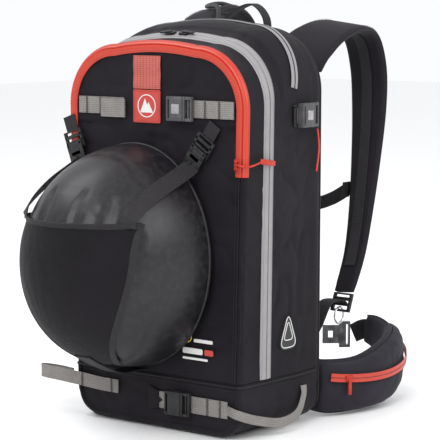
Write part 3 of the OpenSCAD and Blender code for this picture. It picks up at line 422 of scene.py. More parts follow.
boot = np.array([[round_the_foot(s, y, inset(y)) for y in boot_y] for s in boot_s])[::-1]
boot_hold = np.outer(fade(len(boot_s), 8), fade(len(boot_y), 5))
boot_hold[np.abs(boot[:, :, 2]) < 0.004] = 0
boot = sink(boot, dents(boot, 0.003, (10, 15, 12), 8.4) * boot_hold)
finish(shell("boot_shell", boot, 0.003), boot_cloth, "bag", "boot_fabric", "base_boot")
foot_face = cover(y_front, boot_top, front_r - 0.002, 90, 26, True)
face_hold = np.outer(fade(90, 4), fade(26, 3))
foot_face[:, :, 1] += 0.0006 + dents(foot_face, 0.003, (12, 9, 14), 5.5) * face_hold
finish(shell("foot_front", foot_face, 0.003), boot_cloth, "bag", "boot_fabric")
dress("base_panel", cloth("base_cloth", (0.02, 0.02, 0.021), (0.035, 0.035, 0.036), yarns=3600, grain=0.0003,
                          fold=0.0006))


def spline(knots, m):
    p = [np.array(k, float) for k in knots]
    out = []
    for k in range(len(p) - 1):
        a, b, c, d = p[max(k - 1, 0)], p[k], p[k + 1], p[min(k + 2, len(p) - 1)]
        for s in np.arange(m) / m:
            out.append(0.5 * (2 * b + s * (c - a) + s * s * (2 * a - 5 * b + 4 * c - d)
                              + s ** 3 * (3 * b - a - 3 * c + d)))
    return np.array(out + [p[-1]])


def unit(v):
    return v / np.maximum(np.linalg.norm(v, axis=-1, keepdims=True), 1e-12)


def frames(p, wide):
    """Along a line: its tangent, the direction of a strip's width, and the strip's outer side."""
    t = unit(np.gradient(p, axis=0))
    w = np.broadcast_to(np.array(wide, float), p.shape)
    a = unit(w - (w * t).sum(1, keepdims=True) * t)
    return t, a, np.cross(a, t)


def run_of(p):
    """How far along a line each of its points lies."""
    return np.concatenate([[0], np.cumsum(np.linalg.norm(np.diff(p, axis=0), axis=1))])


def away(o, p, centre):
    """The directions o, turned where they must be so that they point away from a centre."""
    return o * np.sign((o * (p - np.array(centre))).sum(1, keepdims=True))


def swept(name, p, wide, section, widths=1.0, thicks=1.0, smooth=50):
    """A closed strip or tube: the section's (across, out) points carried along the line p."""
    t, a, o = frames(p, wide)
    widths, thicks = np.broadcast_to(widths, len(p)), np.broadcast_to(thicks, len(p))
    n = len(section)
    verts = [p[k] + a[k] * c[0] * widths[k] + o[k] * c[1] * thicks[k] for k in range(len(p)) for c in section]
    faces = [(k * n + i, k * n + (i + 1) % n, (k + 1) * n + (i + 1) % n, (k + 1) * n + i)
             for k in range(len(p) - 1) for i in range(n)]
    faces += [tuple(range(n))[::-1], tuple((len(p) - 1) * n + i for i in range(n))]
    run = run_of(p)
    uvs = [(c[0] * widths[k], run[k]) for k in range(len(p)) for c in section]
    return mesh_piece(name, verts, faces, uvs, smooth)


strap_section = [(0.5, 0.2), (0.485, 0.5), (0.25, 0.5), (0, 0.5), (-0.25, 0.5), (-0.485, 0.5), (-0.5, 0.2),
                 (-0.5, -0.2), (-0.485, -0.5), (0, -0.5), (0.485, -0.5), (0.5, -0.2)]
round_section = [(math.cos(a), math.sin(a)) for a in np.arange(12) * math.pi / 6]


def strap(name, p, wide, w, t=0.0016):
    return swept(name, p, wide, strap_section, w, t)


def tube(name, p, r, wide=(1, 0.01, 0.02)):
    return swept(name, p, wide, round_section, r, r)


def merged(name, pieces):
    """Several pieces as one mesh, which stays at the origin."""
    bpy.ops.object.select_all(action="DESELECT")
    for piece in pieces:
        piece.select_set(True)
    bpy.context.view_layer.objects.active = pieces[0]
    if len(pieces) > 1:
        bpy.ops.object.join()
    pieces[0].name = name
    pieces[0].select_set(False)
    return pieces[0]


def threads(name, lines, r, mat, body, slot):
    """Short threads, each a thin four-sided tube through its points, as one piece."""
    verts, faces = [], []
    for line in lines:
        p = np.array(line, float)
        t = unit(np.gradient(p, axis=0))
        a = unit(np.cross(t, (0.31, 0.52, 0.79)))
        o = np.cross(a, t)
        base = len(verts)
        for k in range(len(p)):
            verts += [p[k] + a[k] * r, p[k] + o[k] * r, p[k] - a[k] * r, p[k] - o[k] * r]
        for k in range(len(p) - 1):
            faces += [(base + 4 * k + i, base + 4 * k + (i + 1) % 4, base + 4 * k + 4 + (i + 1) % 4,
                       base + 4 * k + 4 + i) for i in range(4)]
        faces += [tuple(base + i for i in (3, 2, 1, 0)), tuple(base + 4 * (len(p) - 1) + i for i in range(4))]
    return finish(mesh_piece(name, verts, faces), mat, body, slot)


def stitched(p, out, pitch=0.0045, share=0.66, high=0.0005):
    """A row of lock stitches along the line p, standing a little off its outer side."""
    p, out = np.array(p, float), np.broadcast_to(np.array(out, float), np.shape(p))
    run = run_of(p)
    lines = []
    for start in np.arange(0, run[-1] - pitch, pitch):
        line = []
        for f, h in ((0, 0), (0.5, 1), (1, 0)):
            at = start + f * share * pitch
            q = np.array([np.interp(at, run, p[:, k]) for k in range(3)])
            o = np.array([np.interp(at, run, out[:, k]) for k in range(3)])
            line.append(q + o * high * h)
        lines.append(line)
    return lines


def bartack(centre, along, across, out, w, l=0.0035, high=0.0004):
    """A dense zigzag of thread across a strap."""
    centre, along, across, out = (np.array(v, float) for v in (centre, along, across, out))
    return [[centre + across * w * (k / 24 - 0.5) + along * l * (0.5 if k % 2 else -0.5) + out * high
             for k in range(25)]]


def thread_paint(name, colour):
    mat, tree, bsdf = new_material(name)
    spots = add(tree, "TexNoise", {"Vector": add(tree, "TexCoord").outputs["Object"], "Scale": 900.0})
    tinted(tree, bsdf, spots.outputs[0], [c * 0.7 for c in colour], colour)
    bsdf.inputs["Roughness"].default_value = 0.7
    return mat


black_thread = thread_paint("black_thread", (0.012, 0.011, 0.013))
piping_cloth = cloth("piping_cloth", (0.008, 0.007, 0.009), (0.016, 0.014, 0.017), rough=0.5, fold=0.0002)


def round_line(z, y, lift, count=80):
    """A level line round the outside, from the left rear over the outer face to the right rear."""
    right = [rim(s_at(z), v, inset(v) - lift) for v in np.linspace(y, y_front + front_r, count // 3)]
    turn = [rim(s_at(z), y_front + front_r * (1 - math.sin(a)) - lift * math.sin(a),
                front_r * (1 - math.cos(a)) - lift * math.cos(a))
            for a in np.linspace(0, math.pi / 2, 8)[1:]]
    edge = turn[-1][0]
    face = [np.array([x, y_front - lift, z]) for x in np.linspace(edge, -edge, count // 3)[1:-1]]
    right = np.array(right + turn)
    left = right[::-1] * np.array([-1, 1, 1])
    return np.concatenate([right, face, left])


boot_seam = tube("boot_seam", round_line(boot_h - 0.0035, y_back - edge_r, 0.0002), 0.0017, (0.01, 0.02, 1))
finish(boot_seam, piping_cloth, "bag", "boot_fabric")
stitch_at = (boot_h - 0.009, y_back - edge_r)
stitch_out = unit(round_line(*stitch_at, 0.003) - round_line(*stitch_at, 0))
threads("boot_stitches", stitched(round_line(*stitch_at, 0.0001), stitch_out), 0.0003, black_thread, "bag",
        "boot_fabric")
# the rounded seam that binds the gusset to the back panel
bind_y = y_back - 0.0045
bind_s = np.linspace(0.14, 2 * half_run - 0.14, 260)
bind = np.array([rim(s, bind_y, inset(bind_y) - 0.0006) for s in bind_s])
finish(tube("back_binding", bind, 0.0022, (0.02, 1, 0.01)), piping_cloth, "bag", "shell_fabric")

# ---------------------------------------------------------------- main zip
# A coated reverse-coil zip between the two halves of the bag: two pale grey tapes whose edges
# close over the coil in a thin dark line, topstitched along their outer edges.
def coated(name, colour, rough=0.42, speck=0.25):
    """A tape with a smooth rubbery coat: faint mottling, a fine grain and dirt in the hollows."""
    mat, tree, bsdf = new_material(name)
    at = add(tree, "TexCoord").outputs["Object"]
    blotch = add(tree, "TexNoise", {"Vector": at, "Scale": 60.0, "Detail": 5.0})
    fine = add(tree, "TexNoise", {"Vector": at, "Scale": 1400.0, "Detail": 2.0})
    shade = add(tree, "MapRange", {0: blotch.outputs[0], 1: 0.3, 2: 0.7, 3: 1 - speck, 4: 1.0})
    tinted(tree, bsdf, shade.outputs[0], [c * 0.62 for c in colour], colour)
    roughened(tree, bsdf, fine.outputs[0], 0.2, rough - 0.1)
    bumped(tree, bsdf, 0.35, 0.0002, fine.outputs[0])
    return mat


grey_tape = coated("grey_tape", (0.25, 0.24, 0.245))
grey_thread = thread_paint("grey_thread", (0.20, 0.19, 0.185))
zip_s = np.linspace(seam_s[0] + 0.001, seam_s[1] - 0.001, 260)
for name, side, body in (("main_zip_front_tape", -1, "front_panel"), ("main_zip_rear_tape", 1, "bag")):
    # from the outer edge of the tape to the middle line: how far across, and how high
    profile = ((0.0104, -0.0010), (0.0100, 0.0004), (0.0092, 0.0010), (0.0060, 0.0012), (0.0036, 0.0016),
               (0.0016, 0.0020), (0.0008, 0.0016), (0.0006, 0.0002))
    tape = np.array([[rim(s, zip_y + side * across, -high) for across, high in profile] for s in zip_s])
    if side < 0:
        tape = tape[:, ::-1]
    finish(shell(name, tape, 0.0008, 50), grey_tape, body, "zip_grey",
           "main_zip_front" if side < 0 else "main_zip_rear")
    line = np.array([rim(s, zip_y + side * 0.0084, -0.0011) for s in zip_s])
    line_out = unit(line - np.array([0, 0, 0.25]) * (1, 0, 1)) * (1, 0, 1)
    threads(name + "_stitches", stitched(line, line_out, 0.0035), 0.00022, grey_thread, body, "zip_grey")
coil = np.array([rim(s, zip_y, 0.0008) for s in zip_s])
finish(tube("main_zip_coil", coil, 0.0012, (0.02, 1, 0.01)), black_thread, "bag", "zip_grey")

# ---------------------------------------------------------------- front panel
# The same nylon, cut as a shallow tray: a narrow gusset in front of the main zip, an outer face
# stitched inside its rounded edge, and a divider that makes the flat pocket behind the face.
front_s = np.linspace(seam_s[0] + 0.0004, seam_s[1] - 0.0004, 300)
bend = np.linspace(0, 1.45, 9)
front_rows = [(y, 0) for y in np.linspace(zip_y - 0.0006, y_front + front_r, 14)[:-1]]
front_rows += [(y_front + front_r * (1 - math.sin(a)), front_r * (1 - math.cos(a))) for a in bend]
tray = np.array([[rim(s, y, t) for y, t in front_rows] for s in front_s])[:, ::-1]
tray_hold = np.outer(fade(300, 12), fade(len(front_rows), 4))
high_side = tray[:, :, 2] > 0.32
tray = sink(tray, dents(tray, 0.0028, (9, 13, 12), 1.7) * tray_hold * np.where(high_side, 0.25, 1))
finish(shell("front_gusset_cloth", tray, 0.003), shell_cloth, "front_panel", "shell_fabric", "front_gusset")
face = cover(y_front, boot_h + 0.0006, front_r - 0.001, 120, 120)
face_hold = np.outer(fade(120, 9), fade(120, 8))
under_straps = np.abs(face[:, :, 2] - upper_z) < 0.022
under_label = (np.abs(face[:, :, 0] + 0.012) < 0.03) & (face[:, :, 2] > 0.385)
face_hold[under_straps | under_label] *= 0.3
face[:, :, 1] += 0.0004 + dents(face, 0.0055, (8, 5, 11), 12.2) * face_hold
finish(shell("front_face_cloth", face[::-1], 0.003), shell_cloth, "front_panel", "shell_fabric", "front_face")
divider = cover(y_front + 0.034, boot_h + 0.002, 0.0055, 50, 50)
divider[:, :, 1] += dents(divider, 0.0018, (12, 5, 12), 7.7) * np.outer(fade(50, 3), fade(50, 3))
lining = cloth("lining", (0.07, 0.07, 0.075), (0.11, 0.11, 0.115), yarns=4200)
finish(shell("divider_cloth", divider[::-1], 0.0018), lining, "front_panel", "shell_fabric",
       "pocket_divider")
edge_line = np.array([rim(s, y_front - 0.0001, front_r + 0.0016) for s in front_s])
finish(tube("face_edge_cord", edge_line, 0.0010, (0.02, 1, 0.01)), piping_cloth, "front_panel",
       "shell_fabric")
low_edge = np.array([rim(s, y_front - 0.0002, front_r + 0.006) for s in front_s
                     if rim(s, y_front, 0)[2] < 0.335])
half = len(low_edge) // 2
threads("face_stitches", stitched(low_edge[:half], (0, -1, 0)) + stitched(low_edge[half:], (0, -1, 0)),
        0.0003, black_thread, "front_panel", "shell_fabric")
# a fold of cloth behind the boot seam lets the panel hinge open
fold = np.array([[[x, y_front + 0.0045, z] for z in np.linspace(0.0705, 0.0780, 5)] for x in (-0.125, 0.125)])
hinge_cloth = shell("hinge_cloth", fold, 0.0008)
hinge_cloth.data.materials.append(shell_cloth)
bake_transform(hinge_cloth)

# ---------------------------------------------------------------- front pocket zip
# A bright coated zip bent over the front edge from one side to the other. Its two tapes meet in
# a groove that follows the bend, and both are topstitched.
red_tape = coated("red_tape", (0.47, 0.033, 0.014), 0.4, 0.12)
red_thread = thread_paint("red_thread", (0.34, 0.03, 0.016))
pocket_zip_z = side_z - 0.080
pocket_s = [s_at(pocket_zip_z), 2 * half_run - s_at(pocket_zip_z)]


def over_edge(s, f, lift):
    """Across the zip: f is 0 at its inner edge on the face and 1 at its outer edge on the side."""
    flat = 0.0070
    bend_run = (front_r + 0.001) * math.pi / 2
    run = f * (flat + bend_run)
    if run < flat:
        return rim(s, y_front - lift, front_r + flat - run)
    a = (run - flat) / (front_r + 0.001)
    return rim(s, y_front + front_r - (front_r + lift) * math.cos(a),
               front_r - (front_r + lift) * math.sin(a))


profile = [(0, 0.0002), (0.015, 0.0013), (0.06, 0.0017), (0.20, 0.0018), (0.36, 0.0022), (0.44, 0.0022),
           (0.475, 0.0012), (0.50, 0.0006), (0.525, 0.0012), (0.56, 0.0022), (0.64, 0.0022), (0.80, 0.0018),
           (0.94, 0.0017), (0.985, 0.0013), (1.0, 0.0002)]
pocket_run = np.linspace(pocket_s[0], pocket_s[1], 320)
pocket_tape = np.array([[over_edge(s, f, high) for f, high in profile] for s in pocket_run])
finish(shell("pocket_zip_tape", pocket_tape, 0.0006, 50), red_tape, "front_panel", "zip_red", "pocket_zip")
rows = []
for f in (0.11, 0.29, 0.71, 0.89):
    line = np.array([over_edge(s, f, 0.0018) for s in pocket_run])
    rows += stitched(line, line - np.array([over_edge(s, f, 0.0008) for s in pocket_run]), 0.0036, high=0.35)
threads("pocket_zip_stitches", rows, 0.00022, red_thread, "front_panel", "zip_red")

# ---------------------------------------------------------------- webbing on the outer face and sides
# Flat ribbed webbing, 22 mm wide, sewn down with black bartacks. The upper left strap ends in a
# folded hook-and-loop tab, and the straps on the right feed the side-release buckles.
def ribbed(name, dark, light, rib=0.0024, rough=0.7):
    """Webbing: ribs along its length over a fine cross weave, with painted shade darkening the grooves."""
    mat, tree, bsdf = new_material(name)
    uv = add(tree, "SeparateXYZ", {0: add(tree, "TexCoord").outputs["UV"]})
    ribs = maths(tree, "ABSOLUTE", maths(tree, "SINE", maths(tree, "MULTIPLY", uv.outputs[0], math.pi / rib)))
    picks = maths(tree, "SINE", maths(tree, "MULTIPLY", uv.outputs[1], 2 * math.pi / 0.0026))
    high = maths(tree, "ADD", ribs, maths(tree, "MULTIPLY", picks, 0.3))
    worn = add(tree, "TexNoise", {"Vector": add(tree, "TexCoord").outputs["Object"], "Scale": 70.0,
                                  "Detail": 5.0})
    # the colour follows the rib height, so the grooves get painted shade; the worn noise adds random wear on
    # top
    share = maths(tree, "ADD", maths(tree, "MULTIPLY", high, 0.45),
                  maths(tree, "MULTIPLY", worn.outputs[0], 0.6))
    tinted(tree, bsdf, share, dark, light, clamp_factor=True)
    bumped(tree, bsdf, 0.7, 0.0005, high)
    bsdf.inputs["Roughness"].default_value = rough
    bsdf.inputs["Specular IOR Level"].default_value = 0.3
    return mat


grey_webbing = ribbed("grey_webbing", (0.115, 0.105, 0.100), (0.255, 0.240, 0.228))
black_webbing = ribbed("black_webbing", (0.006, 0.005, 0.0065), (0.020, 0.018, 0.021), rib=0.0018)
webbing_w, webbing_t = 0.022, 0.0016
webbing_y = y_front - 0.0003 - webbing_t / 2
RIGHT, UP, OUT = (1, 0, 0), (0, 0, 1), (0, -1, 0)


def face_line(x0, x1, z, lift=0.0, n=16):
    return np.array([(x, webbing_y - lift, z) for x in np.linspace(x0, x1, n)])


upper = [strap("upper_strap_left", face_line(-0.1258, -0.050, upper_z), UP, webbing_w),
         strap("upper_strap_right", face_line(0.024, 0.1258, upper_z), UP, webbing_w)]
tab_line = face_line(-0.086, -0.047, upper_z - 0.003, 0.0019)
tab_line[:, 1] -= 0.0022 * np.sin(np.linspace(0.2, math.pi, len(tab_line)))
upper.append(strap("folded_tab", tab_line, UP, webbing_w + 0.001, 0.0026))
finish(merged("upper_webbing", upper), grey_webbing, "front_panel", "webbing_grey", "upper_straps")
tacks = []
for x in (-0.112, -0.089, 0.082, 0.104):
    tacks += bartack((x, webbing_y - 0.0009, upper_z), RIGHT, UP, OUT, 0.021)
threads("upper_bartacks", tacks, 0.00042, black_thread, "front_panel", "webbing_black")

lower_z, ski_x = 0.040, 0.1169
lower_parts = [strap("lower_strap", face_line(0.008, ski_x, lower_z), UP, webbing_w)]
for side in (-1, 1):
    x = side * (body_w / 2 + 0.001 + webbing_t / 2)
    line = np.array([(x, y, side_z - 0.008) for y in np.linspace(0.020, y_back - edge_r - 0.002, 10)])
    lower_parts.append(strap("side_strap", line, UP, webbing_w))
finish(merged("bag_webbing", lower_parts), grey_webbing, "bag", "webbing_grey", "bag_straps")
tacks = []
for x in (0.086, 0.106):
    tacks += bartack((x, webbing_y - 0.0009, lower_z), RIGHT, UP, OUT, 0.021)
for side in (-1, 1):
    tacks += bartack((side * (body_w / 2 + 0.0028), 0.064, side_z - 0.008), (0, 1, 0), UP, (side, 0, 0), 0.02)
threads("bag_bartacks", tacks, 0.00042, black_thread, "bag", "webbing_black")
# the triangular fold of boot cloth that the lower strap comes out of
fold_pts = np.array([[(x, y_front - 0.0004 - 0.0022 * math.sin(math.pi * k / 5) * (1 - abs(j - 3) / 4),
                       lower_z + (j - 3) / 3 * (0.017 - 0.012 * k / 5))
                      for j in range(7)] for k, x in enumerate(np.linspace(-0.012, 0.022, 6))])
finish(shell("strap_fold", fold_pts, 0.0008), boot_cloth, "bag", "boot_fabric")

boot_half = 0.1359
ski_knots = [(ski_x + 0.0003, webbing_y, lower_z, 0),
             (boot_half - 0.001, y_front - 0.004, lower_z - 0.003, 34),
             (boot_half + 0.007, y_front + 0.026, lower_z - 0.014, 76),
             (0.150, y_front + 0.068, lower_z - 0.023, 84), (0.153, y_front + 0.102, lower_z - 0.017, 92),
             (0.150, y_front + 0.121, lower_z + 0.003, 96), (0.1482, y_front + 0.123, lower_z + 0.016, 90)]
ski = spline(ski_knots, 7)
turn = np.radians(ski[:, 3])
face_out = np.stack([np.sin(turn), -np.cos(turn), np.zeros(len(ski))], 1)
ski_wide = np.cross(unit(np.gradient(ski[:, :3], axis=0)), face_out)
finish(strap("ski_loop_webbing", ski[:, :3], ski_wide, 0.012), grey_webbing, "bag", "webbing_grey",
       "ski_loop")

tool_z = 0.053
tool_knots = [(-0.062, webbing_y, tool_z - 0.005), (-0.090, y_front - 0.0039, tool_z - 0.004),
              (-0.118, y_front - 0.0079, tool_z - 0.001),
              (-boot_half - 0.020, y_front - 0.012, tool_z + 0.002),
              (-boot_half - 0.052, y_front - 0.008, tool_z + 0.002),
              (-boot_half - 0.060, y_front + 0.001, tool_z + 0.001),
              (-boot_half - 0.040, y_front + 0.008, tool_z),
              (-boot_half - 0.008, y_front + 0.003, tool_z)]
tool = spline(tool_knots, 7)
finish(strap("tool_loop_webbing", tool, UP, webbing_w - 0.004), grey_webbing, "bag", "webbing_grey",
       "tool_loop")
threads("tool_loop_tack", bartack(tool[3] + (0, -0.0009, 0), RIGHT, UP, OUT, 0.017)
        + bartack(tool[14] + (0, -0.0009, 0), RIGHT, UP, OUT, 0.017), 0.0004, black_thread,
        "bag", "webbing_black")

# ---------------------------------------------------------------- labels and marks
# A ribbed woven ribbon runs down to a square label with a sewn border and a plain white peak.
# Lower down stand a printed ring, plain bars and a red block.
tag_x, tag_w, label_z = -0.012, 0.044, upper_z - 0.020
tag_paint = ribbed("woven_tag", (0.26, 0.045, 0.036), (0.46, 0.115, 0.095), rib=0.0050)
label_paint = coated("label_red", (0.46, 0.040, 0.030), 0.5)
white_print = coated("white_print", (0.62, 0.62, 0.60), 0.55, 0.08)
yellow_print = coated("yellow_print", (0.80, 0.58, 0.03), 0.5, 0.1)
tag_line = np.array([(tag_x, y_front - 0.0010 - 0.0004 * math.sin(k), z) for k, z in
                     enumerate(np.linspace(label_z + 0.0432, 0.4835, 12))])
finish(strap("woven_ribbon", tag_line, RIGHT, tag_w, 0.0012), tag_paint, "front_panel", "label_red",
       "front_labels")


def flat_shape(name, outline, y, t):
    """A thin plate on the outer face, its outline given as (x, z) points, from y out to y - t."""
    n = len(outline)
    verts = [(x, y, z) for x, z in outline] + [(x, y - t, z) for x, z in outline]
    faces = [tuple(range(n)), tuple(range(2 * n - 1, n - 1, -1))]
    faces += [(i, (i + 1) % n, n + (i + 1) % n, n + i) for i in range(n)]
    return mesh_piece(name, verts, faces, None, 30)


def rounded(x0, z0, x1, z1, r, steps=5):
    out = []
    for cx, cz, a0 in ((x1 - r, z1 - r, 0), (x0 + r, z1 - r, 90), (x0 + r, z0 + r, 180),
                       (x1 - r, z0 + r, 270)):
        for k in range(steps + 1):
            a = math.radians(a0 + 90 * k / steps)
            out.append((cx + r * math.cos(a), cz + r * math.sin(a)))
    return out


def flat_ring(name, cx, cz, r0, r1, y, t, n=40):
    out = []
    for k in range(n):
        c, sn = math.cos(2 * math.pi * k / n), math.sin(2 * math.pi * k / n)
        out.append([(cx + r * c, depth, cz + r * sn)
                    for r, depth in ((r0, y), (r1, y), (r1, y - t), (r0, y - t))])
    verts = [v for ring in out for v in ring]
    faces = [(4 * k + i, 4 * k + (i + 1) % 4, 4 * ((k + 1) % n) + (i + 1) % 4, 4 * ((k + 1) % n) + i)
             for k in range(n) for i in range(4)]
    return mesh_piece(name, verts, faces, None, 30)


x0, x1 = tag_x - tag_w / 2, tag_x + tag_w / 2
label = flat_shape("square_label", rounded(x0, label_z, x1, label_z + 0.042, 0.002), y_front - 0.0003, 0.0012)
finish(label, label_paint, "front_panel", "label_red")
border = rounded(x0 + 0.0018, label_z + 0.0018, x1 - 0.0018, label_z + 0.0402, 0.0015)
border = np.array([(x, y_front - 0.0016, z) for x, z in border + border[:1]])
threads("label_border", stitched(border, OUT, 0.0024, 0.7, 0.0003), 0.0002, red_thread, "front_panel",
        "label_red")
mark_y = y_front - 0.0015
peak = flat_shape("label_peak", [(tag_x - 0.0105, label_z + 0.013), (tag_x + 0.0105, label_z + 0.013),
                                 (tag_x + 0.0030, label_z + 0.0265), (tag_x + 0.0008, label_z + 0.0225),
                                 (tag_x - 0.0026, label_z + 0.0310)], mark_y, 0.0003)
peak_ring = flat_ring("label_ring", tag_x, label_z + 0.0215, 0.0135, 0.0148, mark_y, 0.0003)
finish(merged("label_mark", [peak, peak_ring]), white_print, "front_panel", "label_red")
print_y = y_front - 0.0002
finish(flat_ring("printed_ring", 0.053, 0.127, 0.0052, 0.0068, print_y, 0.0003), yellow_print, "front_panel",
       "label_red")
bars = [flat_shape("bar", rounded(bx, bz, bx + w, bz + h, min(h, w) * 0.3), print_y, 0.0003)
        for bx, bz, w, h in ((0.063, 0.1215, 0.030, 0.0045), (0.045, 0.106, 0.032, 0.0075),
                             (0.045, 0.0985, 0.040, 0.0030))]
finish(merged("printed_bars", bars), white_print, "front_panel", "label_red")
finish(flat_shape("printed_block", rounded(0.080, 0.106, 0.094, 0.1135, 0.002), print_y, 0.0003), label_paint,
       "front_panel", "label_red")

# ---------------------------------------------------------------- side-release buckles
# Moulded acetal buckles: a socket with two windowed side arms and a pale square plate on top, and
# a plug whose three cross bars hold the webbing. The upper and side pairs are grey, the rest black.
def moulded(name, colour, rough=0.42):
    mat, tree, bsdf = new_material(name)
    at = add(tree, "TexCoord").outputs["Object"]
    fine = add(tree, "TexNoise", {"Vector": at, "Scale": 2600.0, "Detail": 3.0})
    scuff = add(tree, "TexNoise", {"Vector": at, "Scale": 120.0, "Detail": 6.0})
    share = add(tree, "MapRange", {0: scuff.outputs[0], 1: 0.45, 2: 0.75})
    tinted(tree, bsdf, share.outputs[0], colour, [c * 1.5 + 0.006 for c in colour])
    roughened(tree, bsdf, share.outputs[0], 0.12, rough)
    bumped(tree, bsdf, 0.25, 0.0001, fine.outputs[0])
    bsdf.inputs["Specular IOR Level"].default_value = 0.32
    return mat


black_plastic = moulded("black_plastic", (0.012, 0.012, 0.013))
grey_plastic = moulded("grey_plastic", (0.060, 0.058, 0.061))
plate_plastic = moulded("plate_plastic", (0.26, 0.25, 0.25), 0.5)
red_plastic = moulded("red_plastic", (0.36, 0.020, 0.010), 0.38)


def block(x0, x1, y0, y1, z0, z1, r=0.45):
    """A box between these millimetres, every edge rounded by r millimetres."""
    bpy.ops.mesh.primitive_cube_add(size=1)
    piece = bpy.context.object
    piece.data.transform(Matrix.Translation(((x0 + x1) / 2000, (y0 + y1) / 2000, (z0 + z1) / 2000))
                         @ Matrix.Diagonal(((x1 - x0) / 1000, (y1 - y0) / 1000, (z1 - z0) / 1000, 1)))
    bevel = piece.modifiers.new("round", "BEVEL")
    bevel.width, bevel.segments = min(r, 0.45 * min(x1 - x0, y1 - y0, z1 - z0)) / 1000, 2
    bpy.ops.object.modifier_apply(modifier="round")
    soften(piece)
    return piece


def peg(p0, p1, r):
    """A round pin between two points in millimetres."""
    a, b = Vector(p0) / 1000, Vector(p1) / 1000
    bpy.ops.mesh.primitive_cylinder_add(radius=r / 1000, depth=(b - a).length, vertices=20)
    piece = bpy.context.object
    turn_to = Vector(UP).rotation_difference(b - a).to_matrix().to_4x4()
    piece.data.transform(Matrix.Translation((a + b) / 2) @ turn_to)
    soften(piece)
    return piece


def moved(piece, place):
    piece.data.transform(place)
    piece.data.update()
    return piece


def socket_parts():
    parts = [block(-20.2, 0, -15.5, 15.5, 0, 2, 0.8), block(-20.2, 0, -15.5, 15.5, 7, 9, 0.9),
             block(-25, -22.8, -15.5, 15.5, 0, 9, 0.8), block(-20.2, -18, -15.5, 15.5, 2, 7),
             block(-19, -1.5, -12.2, 12.2, 8.6, 9.3, 0.3)]
    for y0, y1 in ((11.5, 15.5), (-15.5, -11.5)):
        parts.append(block(-22.8, -20.2, y0, y1, 0, 9, 0.5))
    for y0, y1 in ((12.5, 15.5), (-15.5, -12.5)):
        parts.append(block(-7, 0, y0, y1, 2, 7))
    return parts


def plug_parts():
    parts = [block(0.4, 3, -15.5, 15.5, 0.6, 8.4, 0.8), block(5.6, 8.2, -15.5, 15.5, 1.2, 5.4, 0.7),
             block(10.8, 13.4, -15.5, 15.5, 1.2, 6.6, 0.7), block(-16, 1, -3.5, 3.5, 2.4, 6.6, 0.8)]
    for y0, y1 in ((11.5, 15.5), (-15.5, -11.5)):
        parts.append(block(2.8, 11, y0, y1, 1.2, 7, 0.6))
    for y0, y1 in ((7.1, 9.9), (-9.9, -7.1)):
        parts.append(block(-14, 1, y0, y1, 2.4, 6.6, 0.6))
    for y0, y1 in ((8.7, 11.9), (-11.9, -8.7)):
        parts.append(block(-14, -7, y0, y1, 2.4, 6.6, 0.8))
    return parts


def at(p, *turns):
    """The place p in metres, then turns about its own axes in degrees."""
    place = Matrix.Translation(p)
    for axis, degrees in turns:
        place = place @ Matrix.Rotation(math.radians(degrees), 4, axis)
    return place


buckle_y = y_front - 0.0023
upper_place = at((0.052, buckle_y, upper_z), ("X", 90))
lower_place = at((0.048, buckle_y, lower_z), ("X", 90))
side_place = {s: at((s * 0.149, 0.045, side_z - 0.008), ("Z", 90), ("X", s * 90)) for s in (1, -1)}
seat_place = at((0.008, 0.2518, 0.266), ("X", -90)) @ Matrix.Diagonal((0.75, 0.75, 0.75, 1))

pair = [moved(merged("side_socket", socket_parts()), side_place[s]) for s in (1, -1)]
finish(merged("side_sockets", pair), grey_plastic, "bag", "plastic_grey", "buckle_sockets")
finish(moved(merged("lower_socket", socket_parts()), lower_place), black_plastic, "bag", "plastic_black")
finish(moved(merged("upper_socket", socket_parts()), upper_place), grey_plastic, "front_panel",
       "plastic_grey", "upper_buckle_socket")
finish(moved(merged("sternum_socket", socket_parts()), seat_place), black_plastic, "sternum", "plastic_black",
       "sternum_buckle_socket")
plates = [moved(block(-16, -4, -6, 6, 9, 9.9, 1.2), side_place[s]) for s in (1, -1)]
plates += [moved(block(-14, -6, -4, 4, 9.6, 10.2, 0.3), side_place[s]) for s in (1, -1)]
finish(merged("side_plates", plates), plate_plastic, "bag", "plastic_grey")
plates = [moved(block(-16, -4, -6, 6, 9, 9.9, 1.2), upper_place),
          moved(block(-14, -6, -4, 4, 9.6, 10.2, 0.3), upper_place)]
finish(merged("upper_plate", plates), plate_plastic, "front_panel", "plastic_grey")
for node, place, mat, slot in (("upper_buckle_plug", upper_place, grey_plastic, "plastic_grey"),
                               ("side_buckle_plug_right", side_place[1], grey_plastic, "plastic_grey"),
                               ("side_buckle_plug_left", side_place[-1], grey_plastic, "plastic_grey"),
                               ("lower_buckle_plug", lower_place, black_plastic, "plastic_black"),
                               ("sternum_buckle_plug", seat_place, black_plastic, "plastic_black")):
    finish(moved(merged(node + "_moulding", plug_parts()), place), mat, node, slot, node)

# ---------------------------------------------------------------- anchors, hooks and net straps
# A ladder-lock anchor stands at each upper corner of the front panel. A moulded hook on the end
# of each net strap slips under its lowest bar.
def ladder_parts(t):
    y = t / 2
    parts = [block(-15, -11, -y, y, -26, 0, 0.6), block(11, 15, -y, y, -26, 0, 0.6)]
    for z0, z1 in ((-2.1, 0), (-10.2, -5.7), (-17.7, -13.8), (-26, -22.9)):
        parts.append(block(-15, 15, -y, y, z0, z1, 0.8))
    return parts


